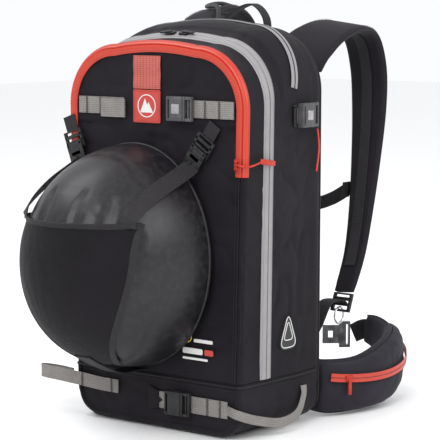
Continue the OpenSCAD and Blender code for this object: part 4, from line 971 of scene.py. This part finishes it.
anchor_place = {1: at((0.086, -0.0873, 0.383), ("Y", 34)), -1: at((-0.136, -0.0894, 0.383), ("Y", -20))}
anchors = [moved(merged("anchor", ladder_parts(4)), anchor_place[s]) for s in (1, -1)]
tab_lines = []
for side, ax, az in ((1, 0.086, 0.383), (-1, -0.136, 0.383)):
    turn_by = math.radians(34 if side > 0 else 20)
    up = np.array((side * math.sin(turn_by), 0, math.cos(turn_by)))
    c = np.array((ax, webbing_y - 0.0003 - (0.0021 if side < 0 else 0), az))
    line = np.array([c + up * (0.020 - 0.022 * k / 8) for k in range(9)])
    tab_lines.append(strap("anchor_tab", line, np.cross(up, (0, 1, 0)), 0.020, 0.0012))
finish(merged("net_anchor_mouldings", anchors), black_plastic, "front_panel", "plastic_black", "net_anchors")
finish(merged("anchor_tabs", tab_lines), black_webbing, "front_panel", "webbing_black")

hooks = []
for side in (1, -1):
    parts = [block(-13, 13, -5, -2.5, -44.3, -28, 1.0), block(-13, -8, -5, -2.5, -28.5, -17.3, 0.8),
             block(8, 13, -5, -2.5, -28.5, -17.3, 0.8), block(-13, 13, -5, -2.5, -21.4, -17.3, 0.9),
             block(-8, 8, -5, -2.5, -34, -21, 0.5), block(-8, 8, -3, 0, -21.4, -19.2, 0.5),
             block(-10, 10, -5.5, -4.6, -40, -37.5, 0.3)]
    hooks.append(moved(merged("hook", parts), anchor_place[side]))
finish(merged("net_hook_mouldings", hooks), black_plastic, "helmet_carrier", "plastic_black", "net_hooks")

net_c, net_rim, net_z = -0.024, -0.094, 0.228
net_w, net_l, net_h = 0.240, 0.288, 0.166


def net_point(x, z, t):
    c = min(1, math.hypot((x - net_c) / (net_w / 2 + t), (z - net_z) / (net_l / 2 + t)))
    return np.array((x, net_rim - (net_h + t) * math.sqrt(max(0, 1 - c ** (2 / 0.86))), z))


strap_parts = []
for side in (1, -1):
    ax, rise, tilt = (0.086, 0.0, 34) if side > 0 else (-0.136, 0.0021, 20)
    c = net_point(net_c + side * 0.0822, 0.280, 0.004)
    e = np.array((ax - side * 0.036 * math.sin(math.radians(tilt)), -0.0945 - rise,
                  0.383 - 0.036 * math.cos(math.radians(tilt))))
    m = (c + e) / 2
    line = spline([c, c + (0.002 * side, 0.005, 0.015), m + (0.0015 * side, -0.009, 0.003),
                   e + (0, -0.005, -0.009), e], 6)
    wide = np.cross(np.broadcast_to((0.6 * side, -0.7, 0.35), line.shape), unit(np.gradient(line, axis=0)))
    strap_parts.append(strap("net_strap", line, wide, webbing_w))
foot_line = spline([net_point(net_c, 0.1104, 0.0032), net_point(net_c, 0.0984, 0.0032),
                    (net_c, -0.140, 0.0815), (net_c, -0.108, 0.0795), (net_c, -0.0866, 0.078)], 6)
strap_parts.append(strap("net_foot", foot_line, RIGHT, 0.026))
finish(merged("net_webbing", strap_parts), black_webbing, "helmet_carrier", "webbing_black", "net_straps")

# ---------------------------------------------------------------- helmet
# A satin black ski helmet carried brim inwards: vents and flowing panel lines in its shell, a
# rolled rim, and a foam liner inside.
def dome(name, w, l, h, rim_y, shape, thick, na=46, nq=120, low=0.0):
    """A bowl over the rim plane. shape(u, v) lowers its outer face, in metres."""
    def ring(grow, lower):
        out = []
        for i in range(na):
            a = math.radians(low + (89.2 - low) * i / (na - 1))
            c = math.cos(a) ** 0.86
            for k in range(nq):
                q = 2 * math.pi * k / nq
                u, v = c * math.cos(q), c * math.sin(q)
                d = grow - (shape(u, v) if lower else 0)
                out.append((net_c + (w / 2 + d) * u, rim_y - (h + d) * math.sin(a), net_z + (l / 2 + d) * v))
        return out
    outer, inner = ring(0, True), ring(-thick, False)
    n = na * nq
    verts = outer + [(net_c, rim_y - h, net_z)] + inner + [(net_c, rim_y - h + thick, net_z)]
    faces = []
    for i in range(na - 1):
        for k in range(nq):
            j = (k + 1) % nq
            faces.append((i * nq + k, (i + 1) * nq + k, (i + 1) * nq + j, i * nq + j))
            o = n + 1
            faces.append((o + i * nq + k, o + i * nq + j, o + (i + 1) * nq + j, o + (i + 1) * nq + k))
    for k in range(nq):
        j, e = (k + 1) % nq, (na - 1) * nq
        faces += [(e + k, n, e + j), (n + 1 + e + k, n + 1 + e + j, 2 * n + 1), (k, j, n + 1 + j, n + 1 + k)]
    return mesh_piece(name, verts, faces, None, 50)


def smooth_step(x):
    x = min(1, max(0, x))
    return x * x * (3 - 2 * x)


def lens(u, v, cu, cv, half_u, half_v, bend=0.0):
    """1 inside a long rounded patch, 0 outside it, with a soft edge."""
    e = math.hypot((u - cu - bend * (v - cv) ** 2) / half_u, (v - cv) / half_v)
    return smooth_step((1.12 - e) / 0.24)


def panel_lines(u, v):
    deep = 0.0
    for side in (1, -1):
        for cu, cv, hu, hv in ((0.22, 0.46, 0.055, 0.20), (0.50, 0.34, 0.055, 0.26),
                               (0.26, -0.30, 0.05, 0.24), (0.55, -0.26, 0.05, 0.26),
                               (0.77, 0.08, 0.030, 0.24)):
            deep = max(deep, 0.0028 * lens(u, v, side * cu, cv, hu, hv, -side * 0.35))
    groove = 0.0
    for r in (0.62, 0.88):
        groove = max(groove, 0.0011 * smooth_step(1 - abs(math.hypot(u, v * 0.94) - r) / 0.014))
    return max(deep, groove)


def helmet_paint(name, colour, rough, coat):
    mat = moulded(name, colour, rough)
    bsdf = mat.node_tree.nodes["Principled BSDF"]
    bsdf.inputs["Coat Weight"].default_value = coat
    bsdf.inputs["Coat Roughness"].default_value = 0.25
    return mat


satin_black = helmet_paint("satin_black", (0.0075, 0.0065, 0.0085), 0.38, 0.10)
finish(dome("helmet_skin", net_w, net_l, net_h, net_rim, panel_lines, 0.003), satin_black,
       "helmet_carrier", "helmet_plastic", "helmet_shell")
liner_foam = cloth("liner_foam", (0.02, 0.02, 0.021), (0.045, 0.045, 0.047), yarns=900, fold=0.0004)
liner = finish(dome("helmet_padding", net_w - 0.0064, net_l - 0.0064, net_h - 0.0032, net_rim - 0.0005,
                    lambda u, v: 0, 0.019, 30, 90), liner_foam, "helmet_carrier", "helmet_foam",
               "helmet_liner")
q = np.linspace(0, 2 * math.pi, 121)
rim_line = np.stack([net_c + (net_w / 2 - 0.0006) * np.cos(q), np.full(121, net_rim - 0.0008),
                     net_z + (net_l / 2 - 0.0006) * np.sin(q)], 1)
finish(swept("rim_trim", rim_line, (0, 1, 0.0), round_section, 0.0026, 0.0018), black_plastic,
       "helmet_carrier", "helmet_plastic")

# ---------------------------------------------------------------- helmet net
# A stretched panel of fine black mesh over the helmet, bound along its edges, drawn to the two
# upper corners and gathered at the foot.
def net_half(z):
    share = (z - 0.0984) / 0.1856
    return 0.120 * (0.26 + 0.5 * math.sin(math.pi / 2 * min(1, max(0, 1.3 * share))))


net_rows = np.linspace(0.0984, 0.284, 64)
net_grid = np.array([[net_point(net_c + net_half(z) * f, z, 0.0028) for z in net_rows]
                     for f in np.linspace(-1, 1, 61)])
net_hold = np.outer(fade(61, 6), fade(64, 8))
net_grid = sink(net_grid, dents(net_grid, 0.0011, (22, 22, 9), 5.5) * net_hold)
net_cloth = cloth("net_cloth", (0.0050, 0.0042, 0.0058), (0.0100, 0.0085, 0.0110), rough=0.8, yarns=2600,
                  size=22.0, fold=0.0008, grain=0.0004, sheen=0.05)
net = finish(shell("helmet_mesh", net_grid, 0.0016), net_cloth, "helmet_carrier", "net_black", "helmet_net")
bindings = []
for f in (-1, 1):
    line = np.array([net_point(net_c + net_half(z) * f, z, 0.0030) for z in net_rows])
    across = np.cross(unit(np.gradient(line, axis=0)), unit(line - np.array((net_c, net_rim, net_z))))
    bindings.append(strap("edge_binding", line, across, 0.008, 0.0022))
top_line = np.array([net_point(net_c + net_half(0.284) * f, 0.281, 0.0030) for f in np.linspace(-1, 1, 40)])
bindings.append(strap("top_binding", top_line, (0, -0.3, 1), 0.009, 0.0022))
finish(merged("net_bindings", bindings), black_webbing, "helmet_carrier", "net_black")

# ---------------------------------------------------------------- loops, cords and the airbag zip
# The haul loop stands up behind the crown. A thin red cord hangs below the right side buckle. The
# burst zip of the airbag runs over the top, and its black puller hangs at the right end.
haul = spline([(-0.034, 0.095, 0.500), (-0.026, 0.095, 0.522), (-0.002, 0.095, 0.540), (0.026, 0.095, 0.548),
               (0.046, 0.095, 0.530), (0.048, 0.095, 0.500)], 7)
finish(strap("haul_webbing", haul, (0, 1, 0), 0.016, 0.002), black_webbing, "bag", "webbing_black",
       "haul_loop")

cord_line = spline([(0.1496, 0.064, 0.389), (0.1504, 0.067, 0.364), (0.1498, 0.062, 0.334)], 12)
cord = finish(tube("side_cord_red", cord_line, 0.0011, (0, 1, 0)),
              ribbed("red_cord", (0.45, 0.02, 0.015), (0.78, 0.06, 0.04)),
              "bag", "zip_red", "side_cord")

burst_line = []
start_s = runs[3] + 0.002
for f in np.linspace(0, 1, 60):
    y = 0.042 - 0.028 * abs(2 * f - 1) ** 1.6
    burst_line.append(rim(start_s + (2 * half_run - 2 * start_s) * f, y, -0.0011))
burst_line = np.array(burst_line)
finish(strap("burst_zip", burst_line, (0, 1, 0), 0.013, 0.0012), grey_tape, "bag", "zip_grey", "airbag_zip")
mid = burst_line + unit(burst_line * (1, 0, 1) - np.array((0, 0, 0.42))) * 0.0008
threads("burst_seam", [mid[k:k + 2] for k in range(0, 58)], 0.0007, black_thread, "bag", "zip_grey")

pull_at = (0.1483, 0.015, 0.420)
pull = [moved(block(-1.2, 1.2, -3, 3, -26, -2, 1.0), at(pull_at)),
        moved(peg((0, -4, 0), (0, 4, 0), 1.8), at(pull_at)),
        moved(block(-1.5, 1.5, -3.2, 3.2, -25, -17, 1.2), at(pull_at))]
finish(merged("burst_puller", pull), black_plastic, "airbag_zip_pull", "plastic_black", "airbag_zip_pull")

for side, name in ((1, "right"), (-1, "left")):
    place = at((0, -0.037, crown_z(-0.037) + crown + 0.0023), ("Y", side * 5.215), ("X", 20.24))
    place = place @ Matrix.Translation((side * 0.011, 0, 0))
    parts = [block(-7, 7, -4.5, 4.5, 0, 1.2, 0.8), block(-7, 7, -4.5, 4.5, 1.8, 3, 0.8),
             block(-6, 6, -1.2, 1.2, 1, 2.2),
             block(-9 + 7 * side, 9 + 7 * side, -2.6, 2.6, 2.6, 5, 1.0), block(-3, 3, -2, 2, 2.6, 3.4)]
    finish(moved(merged("main_slider_" + name, parts), place), black_plastic, "main_zip_slider_" + name,
           "plastic_black", "main_zip_slider_" + name)

# ---------------------------------------------------------------- pocket slider and its pull
# A red slider rides the front pocket's zip. A red cord through its eye carries a long moulded
# tab, which lies round the corner of the bag.
slide_place = at((0.1341, -0.0875, 0.352))
parts = [block(-5, 5, -2.5, 0, -8, 7, 1.0), block(-2.2, 2.2, -7.4, -2.4, -5.5, -3.5, 0.7),
         block(-2.2, 2.2, -7.4, -2.4, 3.5, 5.5, 0.7), peg((0, -5.4, -5.2), (0, -5.4, 5.2), 1.2),
         block(-3.4, 3.4, -3.3, -2.3, -7.4, 6.4, 0.5)]
finish(moved(merged("pocket_slider", parts), slide_place), red_plastic, "pocket_zip_slider", "zip_red",
       "pocket_zip_slider")
eye = np.array([(0.1341 + 0.0021 * math.cos(a), -0.0929 + 0.0021 * math.sin(a), 0.352)
                for a in np.linspace(0, 2 * math.pi, 25)])
pull_cord = spline([(0.136, -0.0929, 0.352), (0.1421, -0.0924, 0.351), (0.1486, -0.0859, 0.350),
                    (0.1516, -0.0755, 0.352), (0.1521, -0.0635, 0.355)], 6)
tab_place = at(pull_cord[-1], ("Z", 4), ("X", -8))
parts = [tube("pull_eye", eye, 0.0007, UP), tube("pull_cord", pull_cord, 0.0013, UP),
         moved(block(-1.5, 1.5, -2, 32, -3.5, 3.5, 1.4), tab_place),
         moved(block(-1.9, 1.9, 8, 30, -2.4, 2.4, 0.8), tab_place)]
finish(merged("pocket_pull", parts), red_plastic, "pocket_zip_pull", "zip_red", "pocket_zip_pull")

# ---------------------------------------------------------------- shoulder straps
# Contoured foam straps in smooth black cloth, piped along both edges, with a webbing spine down
# the middle. Each ends in an adjuster whose webbing runs back to the foot of the bag.
strap_knots = [(96.2, 94, 466, 1.3, 12), (98.2, 114, 491, 1.28, 20), (102.2, 152, 511, 1.18, 14),
               (105.2, 196, 518, 1.08, 8), (105.2, 236, 504, 1, 0), (105.2, 256, 462, 1, 0),
               (104.2, 261, 406, .94, 0), (103.2, 256, 336, .80, 0), (105.2, 242, 268, .66, 0),
               (109.2, 220, 206, .56, 0), (114.2, 187, 158, .5, 0)]
pad_section = [(0.5, 0.0), (0.494, 0.22), (0.46, 0.38), (0.40, 0.455), (0.30, 0.49), (0.15, 0.50), (0, 0.50),
               (-0.15, 0.50), (-0.30, 0.49), (-0.40, 0.455), (-0.46, 0.38), (-0.494, 0.22), (-0.5, 0.0),
               (-0.494, -0.22), (-0.46, -0.38), (-0.40, -0.455), (-0.30, -0.49), (0, -0.50), (0.30, -0.49),
               (0.40, -0.455), (0.46, -0.38), (0.494, -0.22)]
strap_cloth = cloth("strap_cloth", (0.0085, 0.0070, 0.0100), (0.0170, 0.0145, 0.0190), yarns=3800, size=12.0,
                    fold=0.0008, sheen=0.04)


def strap_path(side, m=9):
    k = spline([(x / 1000, y / 1000, z / 1000, w, r) for x, y, z, w, r in strap_knots], m)
    p = k[:, :3].copy()
    if side < 0:
        p[:, 2] += 0.020 * np.clip((p[:, 1] - 0.093) / 0.060, 0, 1) * np.clip((p[:, 2] - 0.300) / 0.160, 0, 1)
    p[:, 0] *= side
    roll = np.radians(k[:, 4])
    wide = np.stack([np.cos(roll), np.zeros(len(p)), -side * np.sin(roll)], 1)
    return p, wide, k[:, 3] * 0.058


for side, name in ((1, "right"), (-1, "left")):
    p, wide, widths = strap_path(side)
    ends = np.minimum(1, np.sqrt((np.minimum(np.arange(len(p)), np.arange(len(p))[::-1]) + 0.35) / 3.2))
    plump = 0.0118 * (0.72 + 0.28 * ends) * (1 - 0.03 * np.abs(np.sin(np.arange(len(p)) * 0.9)))
    pad = swept("shoulder_pad_" + name, p, wide, pad_section, widths * 0.985, plump, 60)
    finish(pad, strap_cloth, "bag", "belt_fabric", *(("shoulder_straps",) if side > 0 else ()))
    t, a, o = frames(p, wide)
    for e, label in ((0.5, "outer"), (-0.5, "inner")):
        edge = p + a * (widths * 0.985 * e)[:, None]
        finish(tube(f"strap_piping_{name}_{label}", edge, 0.0011, wide), black_webbing, "bag",
               "webbing_black")
        for way, tag in ((1, "top"), (-1, "under")):
            seam = p + a * (widths * 0.42 * 2 * e)[:, None] + o * (plump * 0.475 * way)[:, None]
            threads(f"strap_stitch_{name}_{label}_{tag}", stitched(seam[2:-2], o[2:-2] * way, 0.0045),
                    0.00028, black_thread, "bag", "belt_fabric")
    spine = p + o * (plump * 0.5 + 0.0009)[:, None] * -1
    finish(strap("strap_spine_" + name, spine[6:-6], wide[6:-6], 0.016, 0.0012), black_webbing, "bag",
           "webbing_black")

adjust = []
for side in (1, -1):
    adjust.append(moved(merged("adjuster", ladder_parts(5)), at((side * 0.1142, 0.186, 0.155), ("X", -22))))
finish(merged("adjuster_mouldings", adjust), black_plastic, "bag", "plastic_black", "strap_adjusters")
lower_lines = []
for side in (1, -1):
    line = spline([(side * x / 1000, y / 1000, z / 1000) for x, y, z in
                   ((114.2, 177, 144), (114.2, 164, 149), (113.2, 140, 146), (114, 114.6, 118),
                    (112, 92.6, 98), (112, 86.6, 84))], 7)
    lower_lines.append(strap("lower_tail", line, RIGHT, webbing_w))
finish(merged("lower_tails", lower_lines), black_webbing, "bag", "webbing_black", "lower_webbing")

# ---------------------------------------------------------------- trigger cable and handle
# The release cable runs in a black housing out of the top of the bag and down the left strap to
# the red pull handle.
p3, side_ways, _ = strap_path(-1, 3)
o = frames(p3, side_ways)[2]
o = away(o, p3, (0, 0.12, 0.40))
on_strap = [p3[i] + o[i] * (10 + 5 * (i - 7) / 10) / 1000 for i in range(7, 18)]
lead = spline([(-.077, .022, .373), (-.074, .0285, .405), (-.060, .0695, .422), (-.046, .0715, .444),
               (-.046, .073, .465), (-.046, .086, .470), (-.047, .099, .482), (-.049, .112, .516),
               (-.060, .129, .544)]
              + on_strap, 5)
housing = moulded("housing", (0.016, 0.016, 0.017), 0.5)
cable = finish(tube("trigger_housing", lead, 0.003, (0.9, 0.1, 0.3)), housing, "bag", "cable_housing",
               "trigger_cable")
grip = at((-0.10457, 0.2786, 0.4406))
bpy.ops.mesh.primitive_uv_sphere_add(segments=24, ring_count=16, radius=0.0079)
ball = bpy.context.object
for v in ball.data.vertices:
    v.co = Vector((v.co.z + (0.0151 if v.co.z > 1e-6 else -0.0151 if v.co.z < -1e-6 else 0), v.co.y,
                   -v.co.x - 0.034))
ball.data.update()
soften(ball, 60)
parts = [moved(peg((0, 0, -32), (0, 0, -1), 4.0), grip), moved(ball, grip)]
for k in range(5):
    parts.append(moved(peg((-12 + 6 * k - 0.7, 0, -34), (-12 + 6 * k + 0.7, 0, -34), 8.0), grip))
finish(merged("handle_moulding", parts), red_plastic, "trigger_handle", "plastic_red", "trigger_handle")

# ---------------------------------------------------------------- sternum strap
# A short chest strap hangs in a shallow curve between two clips that slide on the shoulder straps.
chest_line = spline([(-.0769, .2486, .290), (-.0519, .2496, .276), (-.020, .2506, .266), (.020, .2506, .266),
                     (.0519, .2496, .276), (.0769, .2486, .290)], 7)
clips = []
for side in (1, -1):
    for x0, x1, y0, y1, r in ((74.9, 76.9, 240.2, 257.0, 0.6), (83.4, 85.4, 240.2, 241.4, 0.5),
                              (75, 85.4, 240.2, 241.4, 0.5), (75, 85.4, 255.8, 257.0, 0.5)):
        clips.append(block(*sorted((side * x0, side * x1)), y0, y1, 281, 301, r))
finish(strap("chest_webbing", chest_line, UP, 0.018), black_webbing, "sternum", "webbing_black",
       "sternum_strap")
finish(merged("chest_clips", clips), black_plastic, "sternum", "plastic_black")

# ---------------------------------------------------------------- hip belt
# Padded charcoal wings wrap forward of the hips, piped along both edges. The right one carries a
# gusseted pocket with a red coated zip.
hip_knots = [(110.4, 94, 12, 80), (132.4, 112, 4, 76), (148.4, 156, 2, 75), (151.4, 204, 3, 83),
             (142.4, 250, 14, 92), (120.4, 292, 34, 98), (86.4, 318, 52, 101), (66.4, 324, 60, 100)]
hip_cloth = cloth("hip_cloth", (0.0150, 0.0135, 0.0190), (0.0300, 0.0270, 0.0360), yarns=3200, size=20.0,
                  fold=0.0014, grain=0.00025, sheen=0.04)
hip = spline([tuple(v / 1000 for v in k) for k in hip_knots], 9)
for side, name in ((1, "right"), (-1, "left")):
    p = np.stack([side * hip[:, 0], hip[:, 1], (hip[:, 2] + hip[:, 3]) / 2], 1)
    tall = (hip[:, 3] - hip[:, 2])
    ends = np.minimum(1, np.sqrt((np.minimum(np.arange(len(p)), np.arange(len(p))[::-1]) + 0.5) / 4))
    wing = swept("hip_pad_" + name, p, UP, pad_section, tall * 0.985, 0.0127 * (0.75 + 0.25 * ends), 60)
    finish(wing, hip_cloth, "hip_" + name, "belt_fabric", "hip_wing_" + name)
    for e in (0.5, -0.5):
        edge = p + np.array(UP) * (tall * 0.985 * e)[:, None]
        finish(tube("hip_piping_%s_%s" % (name, "top" if e > 0 else "foot"), edge, 0.0013, UP), black_webbing,
               "hip_" + name, "webbing_black")
    belt = spline([(side * x / 1000, y / 1000, z / 1000) for x, y, z in
                   ((66.1, 324.5, 80), (58.4, 327, 79), (51.4, 325, 76), (45.4, 318, 72))], 7)
    finish(strap("belt_webbing_" + name, belt, UP, 0.028), black_webbing, "hip_" + name, "webbing_black")

flat_hip = np.stack([hip[:, 0], hip[:, 1], (hip[:, 2] + hip[:, 3]) / 2], 1)
t, a, o = frames(flat_hip, UP)
o = away(o, flat_hip, (0, 0.2, 0.05))


def hip_at(knot):
    """The belt at this third of a knot along its line: its middle, outward side and height."""
    f = knot * (len(hip) - 1) / 21
    i = int(min(len(hip) - 2, math.floor(f)))
    f -= i
    return tuple(v[i] * (1 - f) + v[i + 1] * f for v in (flat_hip, o, hip[:, 3] - hip[:, 2]))


cols, rows = 60, 26
pocket = np.zeros((cols, rows, 3))
for i in range(cols):
    k = 2 + 14 * i / (cols - 1)
    middle, outer, height = hip_at(k)
    bulge = 4 + 18 * math.sqrt(max(0, math.sin(math.pi * (k - 2) / 14)))
    for j in range(rows):
        v = 2 * j / (rows - 1) - 1
        rise = (1 - abs(v) ** 3.2)
        pocket[i, j] = (middle + outer * (0.0065 + bulge / 1000 * rise * (0.995 if rise > 0.5 else 1))
                        + np.array(UP) * (height / 2 - 0.003) * math.sin(v * math.pi / 2))
pocket_hold = np.outer(fade(cols, 5), fade(rows, 5))
pocket = sink(pocket, dents(pocket, 0.003, (16, 16, 22), 7.7) * pocket_hold)
finish(shell("hip_pouch", pocket, 0.003), hip_cloth, "hip_right", "belt_fabric", "hip_pocket")

zip_line = []
for k in np.linspace(3, 15, 44):
    middle, outer, height = hip_at(k)
    share = (k - 2) / 14
    bulge = 4 + 18 * math.sqrt(max(0, math.sin(math.pi * share)))
    z = (58 - 10 * math.sin(math.pi * share) + 12 * share * share) / 1000
    zip_line.append((*(middle + outer * (0.0085 + bulge / 1000))[:2], z))
zip_line = np.array(zip_line)
_, zip_up, zip_out = frames(zip_line, UP)
zip_out = away(zip_out, zip_line, (0, 0.2, 0.05))
finish(strap("hip_zip_tape", zip_line, UP, 0.011, 0.0012), red_tape, "hip_right", "zip_red", "hip_zip")
lip = zip_line + zip_out * 0.0007
threads("hip_zip_lips", [lip[k:k + 2] for k in range(43)], 0.0004, black_thread, "hip_right", "zip_red")
for e in (-1, 1):
    seam = zip_line + zip_up * (0.0066 * e) - zip_out * 0.0008
    threads("hip_zip_stitch_" + ("low" if e < 0 else "high"), stitched(seam, zip_out, 0.004), 0.00025,
            black_thread, "hip_right", "belt_fabric")
lead_at = zip_line[5] + zip_out[5] * 0.0014
lead_dir = zip_line[6] - zip_line[5]
puller = at(tuple(lead_at), ("Z", math.degrees(math.atan2(lead_dir[1], lead_dir[0]))))
parts = [moved(block(-5, 5, -1.4, 1.4, -3.5, 3.5, 0.8), puller),
         moved(block(-2.5, 2.5, -2.6, 0, -22, 1, 0.9), puller)]
finish(merged("hip_slider", parts), red_plastic, "hip_right", "zip_red")

# ---------------------------------------------------------------- back and lumbar pads
# Moulded foam under spacer cloth: a tall back pad cut by one upright channel and three cross
# channels, and a thicker pad over the small of the back.
spacer_cloth = cloth("spacer_cloth", (0.012, 0.012, 0.013), (0.030, 0.030, 0.032), yarns=1500, size=12.0,
                     fold=0.0006, grain=0.0005, rough=0.8)


def cushion(name, x0, x1, z0, z1, r, thick, bulge):
    """A pad against the back wall: rounded corners, its edges rolled down to the wall."""
    cols, rows = 44, 44
    grid = np.zeros((cols, rows, 3))
    cx, cz, hw, hh = (x0 + x1) / 2, (z0 + z1) / 2, (x1 - x0) / 2, (z1 - z0) / 2
    r = min(r, hw * 0.98, hh * 0.98)
    for i in range(cols):
        for j in range(rows):
            u = math.sin(math.pi / 2 * (2 * i / (cols - 1) - 1))
            v = math.sin(math.pi / 2 * (2 * j / (rows - 1) - 1))
            x, z = hw * u, hh * v
            dx, dz = max(0, abs(x) - (hw - r)) / r, max(0, abs(z) - (hh - r)) / r
            if dx > 0 and dz > 0:
                m, far = max(dx, dz), math.hypot(dx, dz)
                x = math.copysign(hw - r + r * dx * m / far, x)
                z = math.copysign(hh - r + r * dz * m / far, z)
            edge = max(abs(u), abs(v))
            y = y_back + 0.0003 + thick * (1 - edge ** 9) ** 0.5 * (1 - bulge * (u * u + v * v) / 2)
            grid[i, j] = (cx + x, max(y, y_back + 0.0016), cz + z)
    return shell(name, grid[::-1], 0.0012, 60)


pad_z, pad_l, pad_w2, chan = 0.2652, 0.3184, 0.1343, 0.015
cuts = [pad_z + pad_l * f for f in (0.24, -0.02, -0.27)]
levels = [pad_z + pad_l / 2] + [v for c in cuts for v in (c + 0.006, c - 0.006)] + [pad_z - pad_l / 2]
cushions = []
for k in range(0, len(levels), 2):
    for side in (1, -1):
        left, right = (chan, pad_w2) if side > 0 else (-pad_w2, -chan)
        cushions.append(cushion("pad", left, right, levels[k + 1], levels[k], 0.014, 0.012, 0.16))
cushions.append(cushion("pad_base", -pad_w2 + 0.004, pad_w2 - 0.004, pad_z - pad_l / 2 + 0.004,
                        pad_z + pad_l / 2 - 0.004, 0.034, 0.0045, 0.0))
back_foam = finish(merged("back_cushions", cushions), spacer_cloth, "bag", "pad_foam", "back_pad")
lumbar = finish(cushion("lumbar_cushion", -0.09635, 0.09635, 0.012, 0.096, 0.024, 0.015, 0.12), spacer_cloth,
                "bag", "pad_foam", "lumbar_pad")

# ---------------------------------------------------------------- packed airbag
# Inside, the airbag itself: red coated ripstop rolled and folded along the top of the bag.
airbag_cloth = cloth("airbag_cloth", (0.46, 0.02, 0.012), (0.66, 0.05, 0.03), rough=0.45, yarns=2400,
                     size=30.0, fold=0.002, grain=0.0002, sheen=0.05)
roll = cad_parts["airbag_roll"].copy()
roll.data = roll.data.copy()
roll.name = "airbag_folds"
bpy.context.scene.collection.objects.link(roll)
for key in list(roll.keys()):
    del roll[key]
bpy.ops.object.select_all(action="DESELECT")
roll.select_set(True)
bpy.context.view_layer.objects.active = roll
remesh = roll.modifiers.new("remesh", "REMESH")
remesh.mode, remesh.voxel_size = "VOXEL", 0.0035
bpy.ops.object.modifier_apply(modifier="remesh")
for v in roll.data.vertices:
    n = v.normal
    folds = math.sin(v.co.x * 210 + 1.3 * math.sin(v.co.y * 90 + v.co.z * 70)) * 0.5 + noise.noise(v.co * 60)
    v.co -= n * (0.0014 + 0.0013 * folds)
roll.data.update()
soften(roll, 70)
finish(roll, airbag_cloth, "bag", "airbag_red", "airbag_roll")

# ---------------------------------------------------------------- hardware kept as machined
# The frame sheet, venturi, valve, cartridge, lever, leg ring and belt buckles keep their shapes.
# They take brushed alloy, painted steel and moulded finishes.
def brushed(name, colour, rough=0.32, metal=1.0):
    mat = moulded(name, colour, rough)
    mat.node_tree.nodes["Principled BSDF"].inputs["Metallic"].default_value = metal
    return mat


alloy = brushed("brushed_alloy", (0.30, 0.30, 0.31))
steel = brushed("bright_steel", (0.55, 0.55, 0.56), 0.25)
cylinder = brushed("cylinder_paint", (0.45, 0.46, 0.47), 0.35, 0.6)
sheet_plastic = moulded("sheet_plastic", (0.05, 0.05, 0.052), 0.5)
for node, mat in (("frame_sheet", sheet_plastic), ("inlet_venturi", black_plastic), ("valve_head", alloy),
                  ("gas_cartridge", cylinder), ("firing_lever", steel), ("leg_ring", steel),
                  ("belt_buckle_socket", alloy), ("belt_buckle_plug", alloy)):
    dress(node, mat)

# ---------------------------------------------------------------- side patch
# A rounded triangular patch with a pale printed outline, sewn low on the right side.
patch_c, patch_turn = Vector((0.1447, 0.0055, 0.1335)), Matrix.Rotation(math.radians(-4.56), 4, "Z")


def patch_outline(half_w, half_h, r, n=7):
    corners = [(0, half_h), (-half_w, -half_h), (half_w, -half_h)]
    out = []
    for i in range(3):
        p = np.array(corners[i], float)
        before, after = np.array(corners[i - 1], float), np.array(corners[(i + 1) % 3], float)
        ua, ub = (before - p) / np.linalg.norm(before - p), (after - p) / np.linalg.norm(after - p)
        p0, p1 = p + ua * r, p + ub * r
        for f in np.linspace(0, 1, n):
            out.append((1 - f) ** 2 * p0 + 2 * f * (1 - f) * p + f * f * p1)
    return out


def patch_plate(name, outline, x0, x1):
    n = len(outline)
    verts = [tuple(patch_turn @ Vector((x, u, v)) + patch_c) for x in (x0, x1) for u, v in outline]
    faces = [tuple(range(n)), tuple(range(2 * n - 1, n - 1, -1))]
    faces += [(i, n + i, n + (i + 1) % n, (i + 1) % n) for i in range(n)]
    return mesh_piece(name, verts, faces, None, 30)


dark_print = coated("dark_print", (0.02, 0.02, 0.021), 0.6, 0.1)
pale_print = coated("pale_print", (0.62, 0.62, 0.60), 0.55, 0.1)
outline = patch_outline(0.0195, 0.0255, 0.015)
finish(patch_plate("patch_base", outline, -0.0008, 0.0016), dark_print, "bag", "patch_grey", "side_patch")
ring_parts = []
for grow in (0.90, 0.52):
    loop = [patch_turn @ Vector((0.0017, u * grow, v * grow)) + patch_c for u, v in outline + outline[:1]]
    ring_parts.append([tuple(q) for q in loop])
threads("patch_outline", ring_parts, 0.00075, pale_print, "bag", "patch_grey")
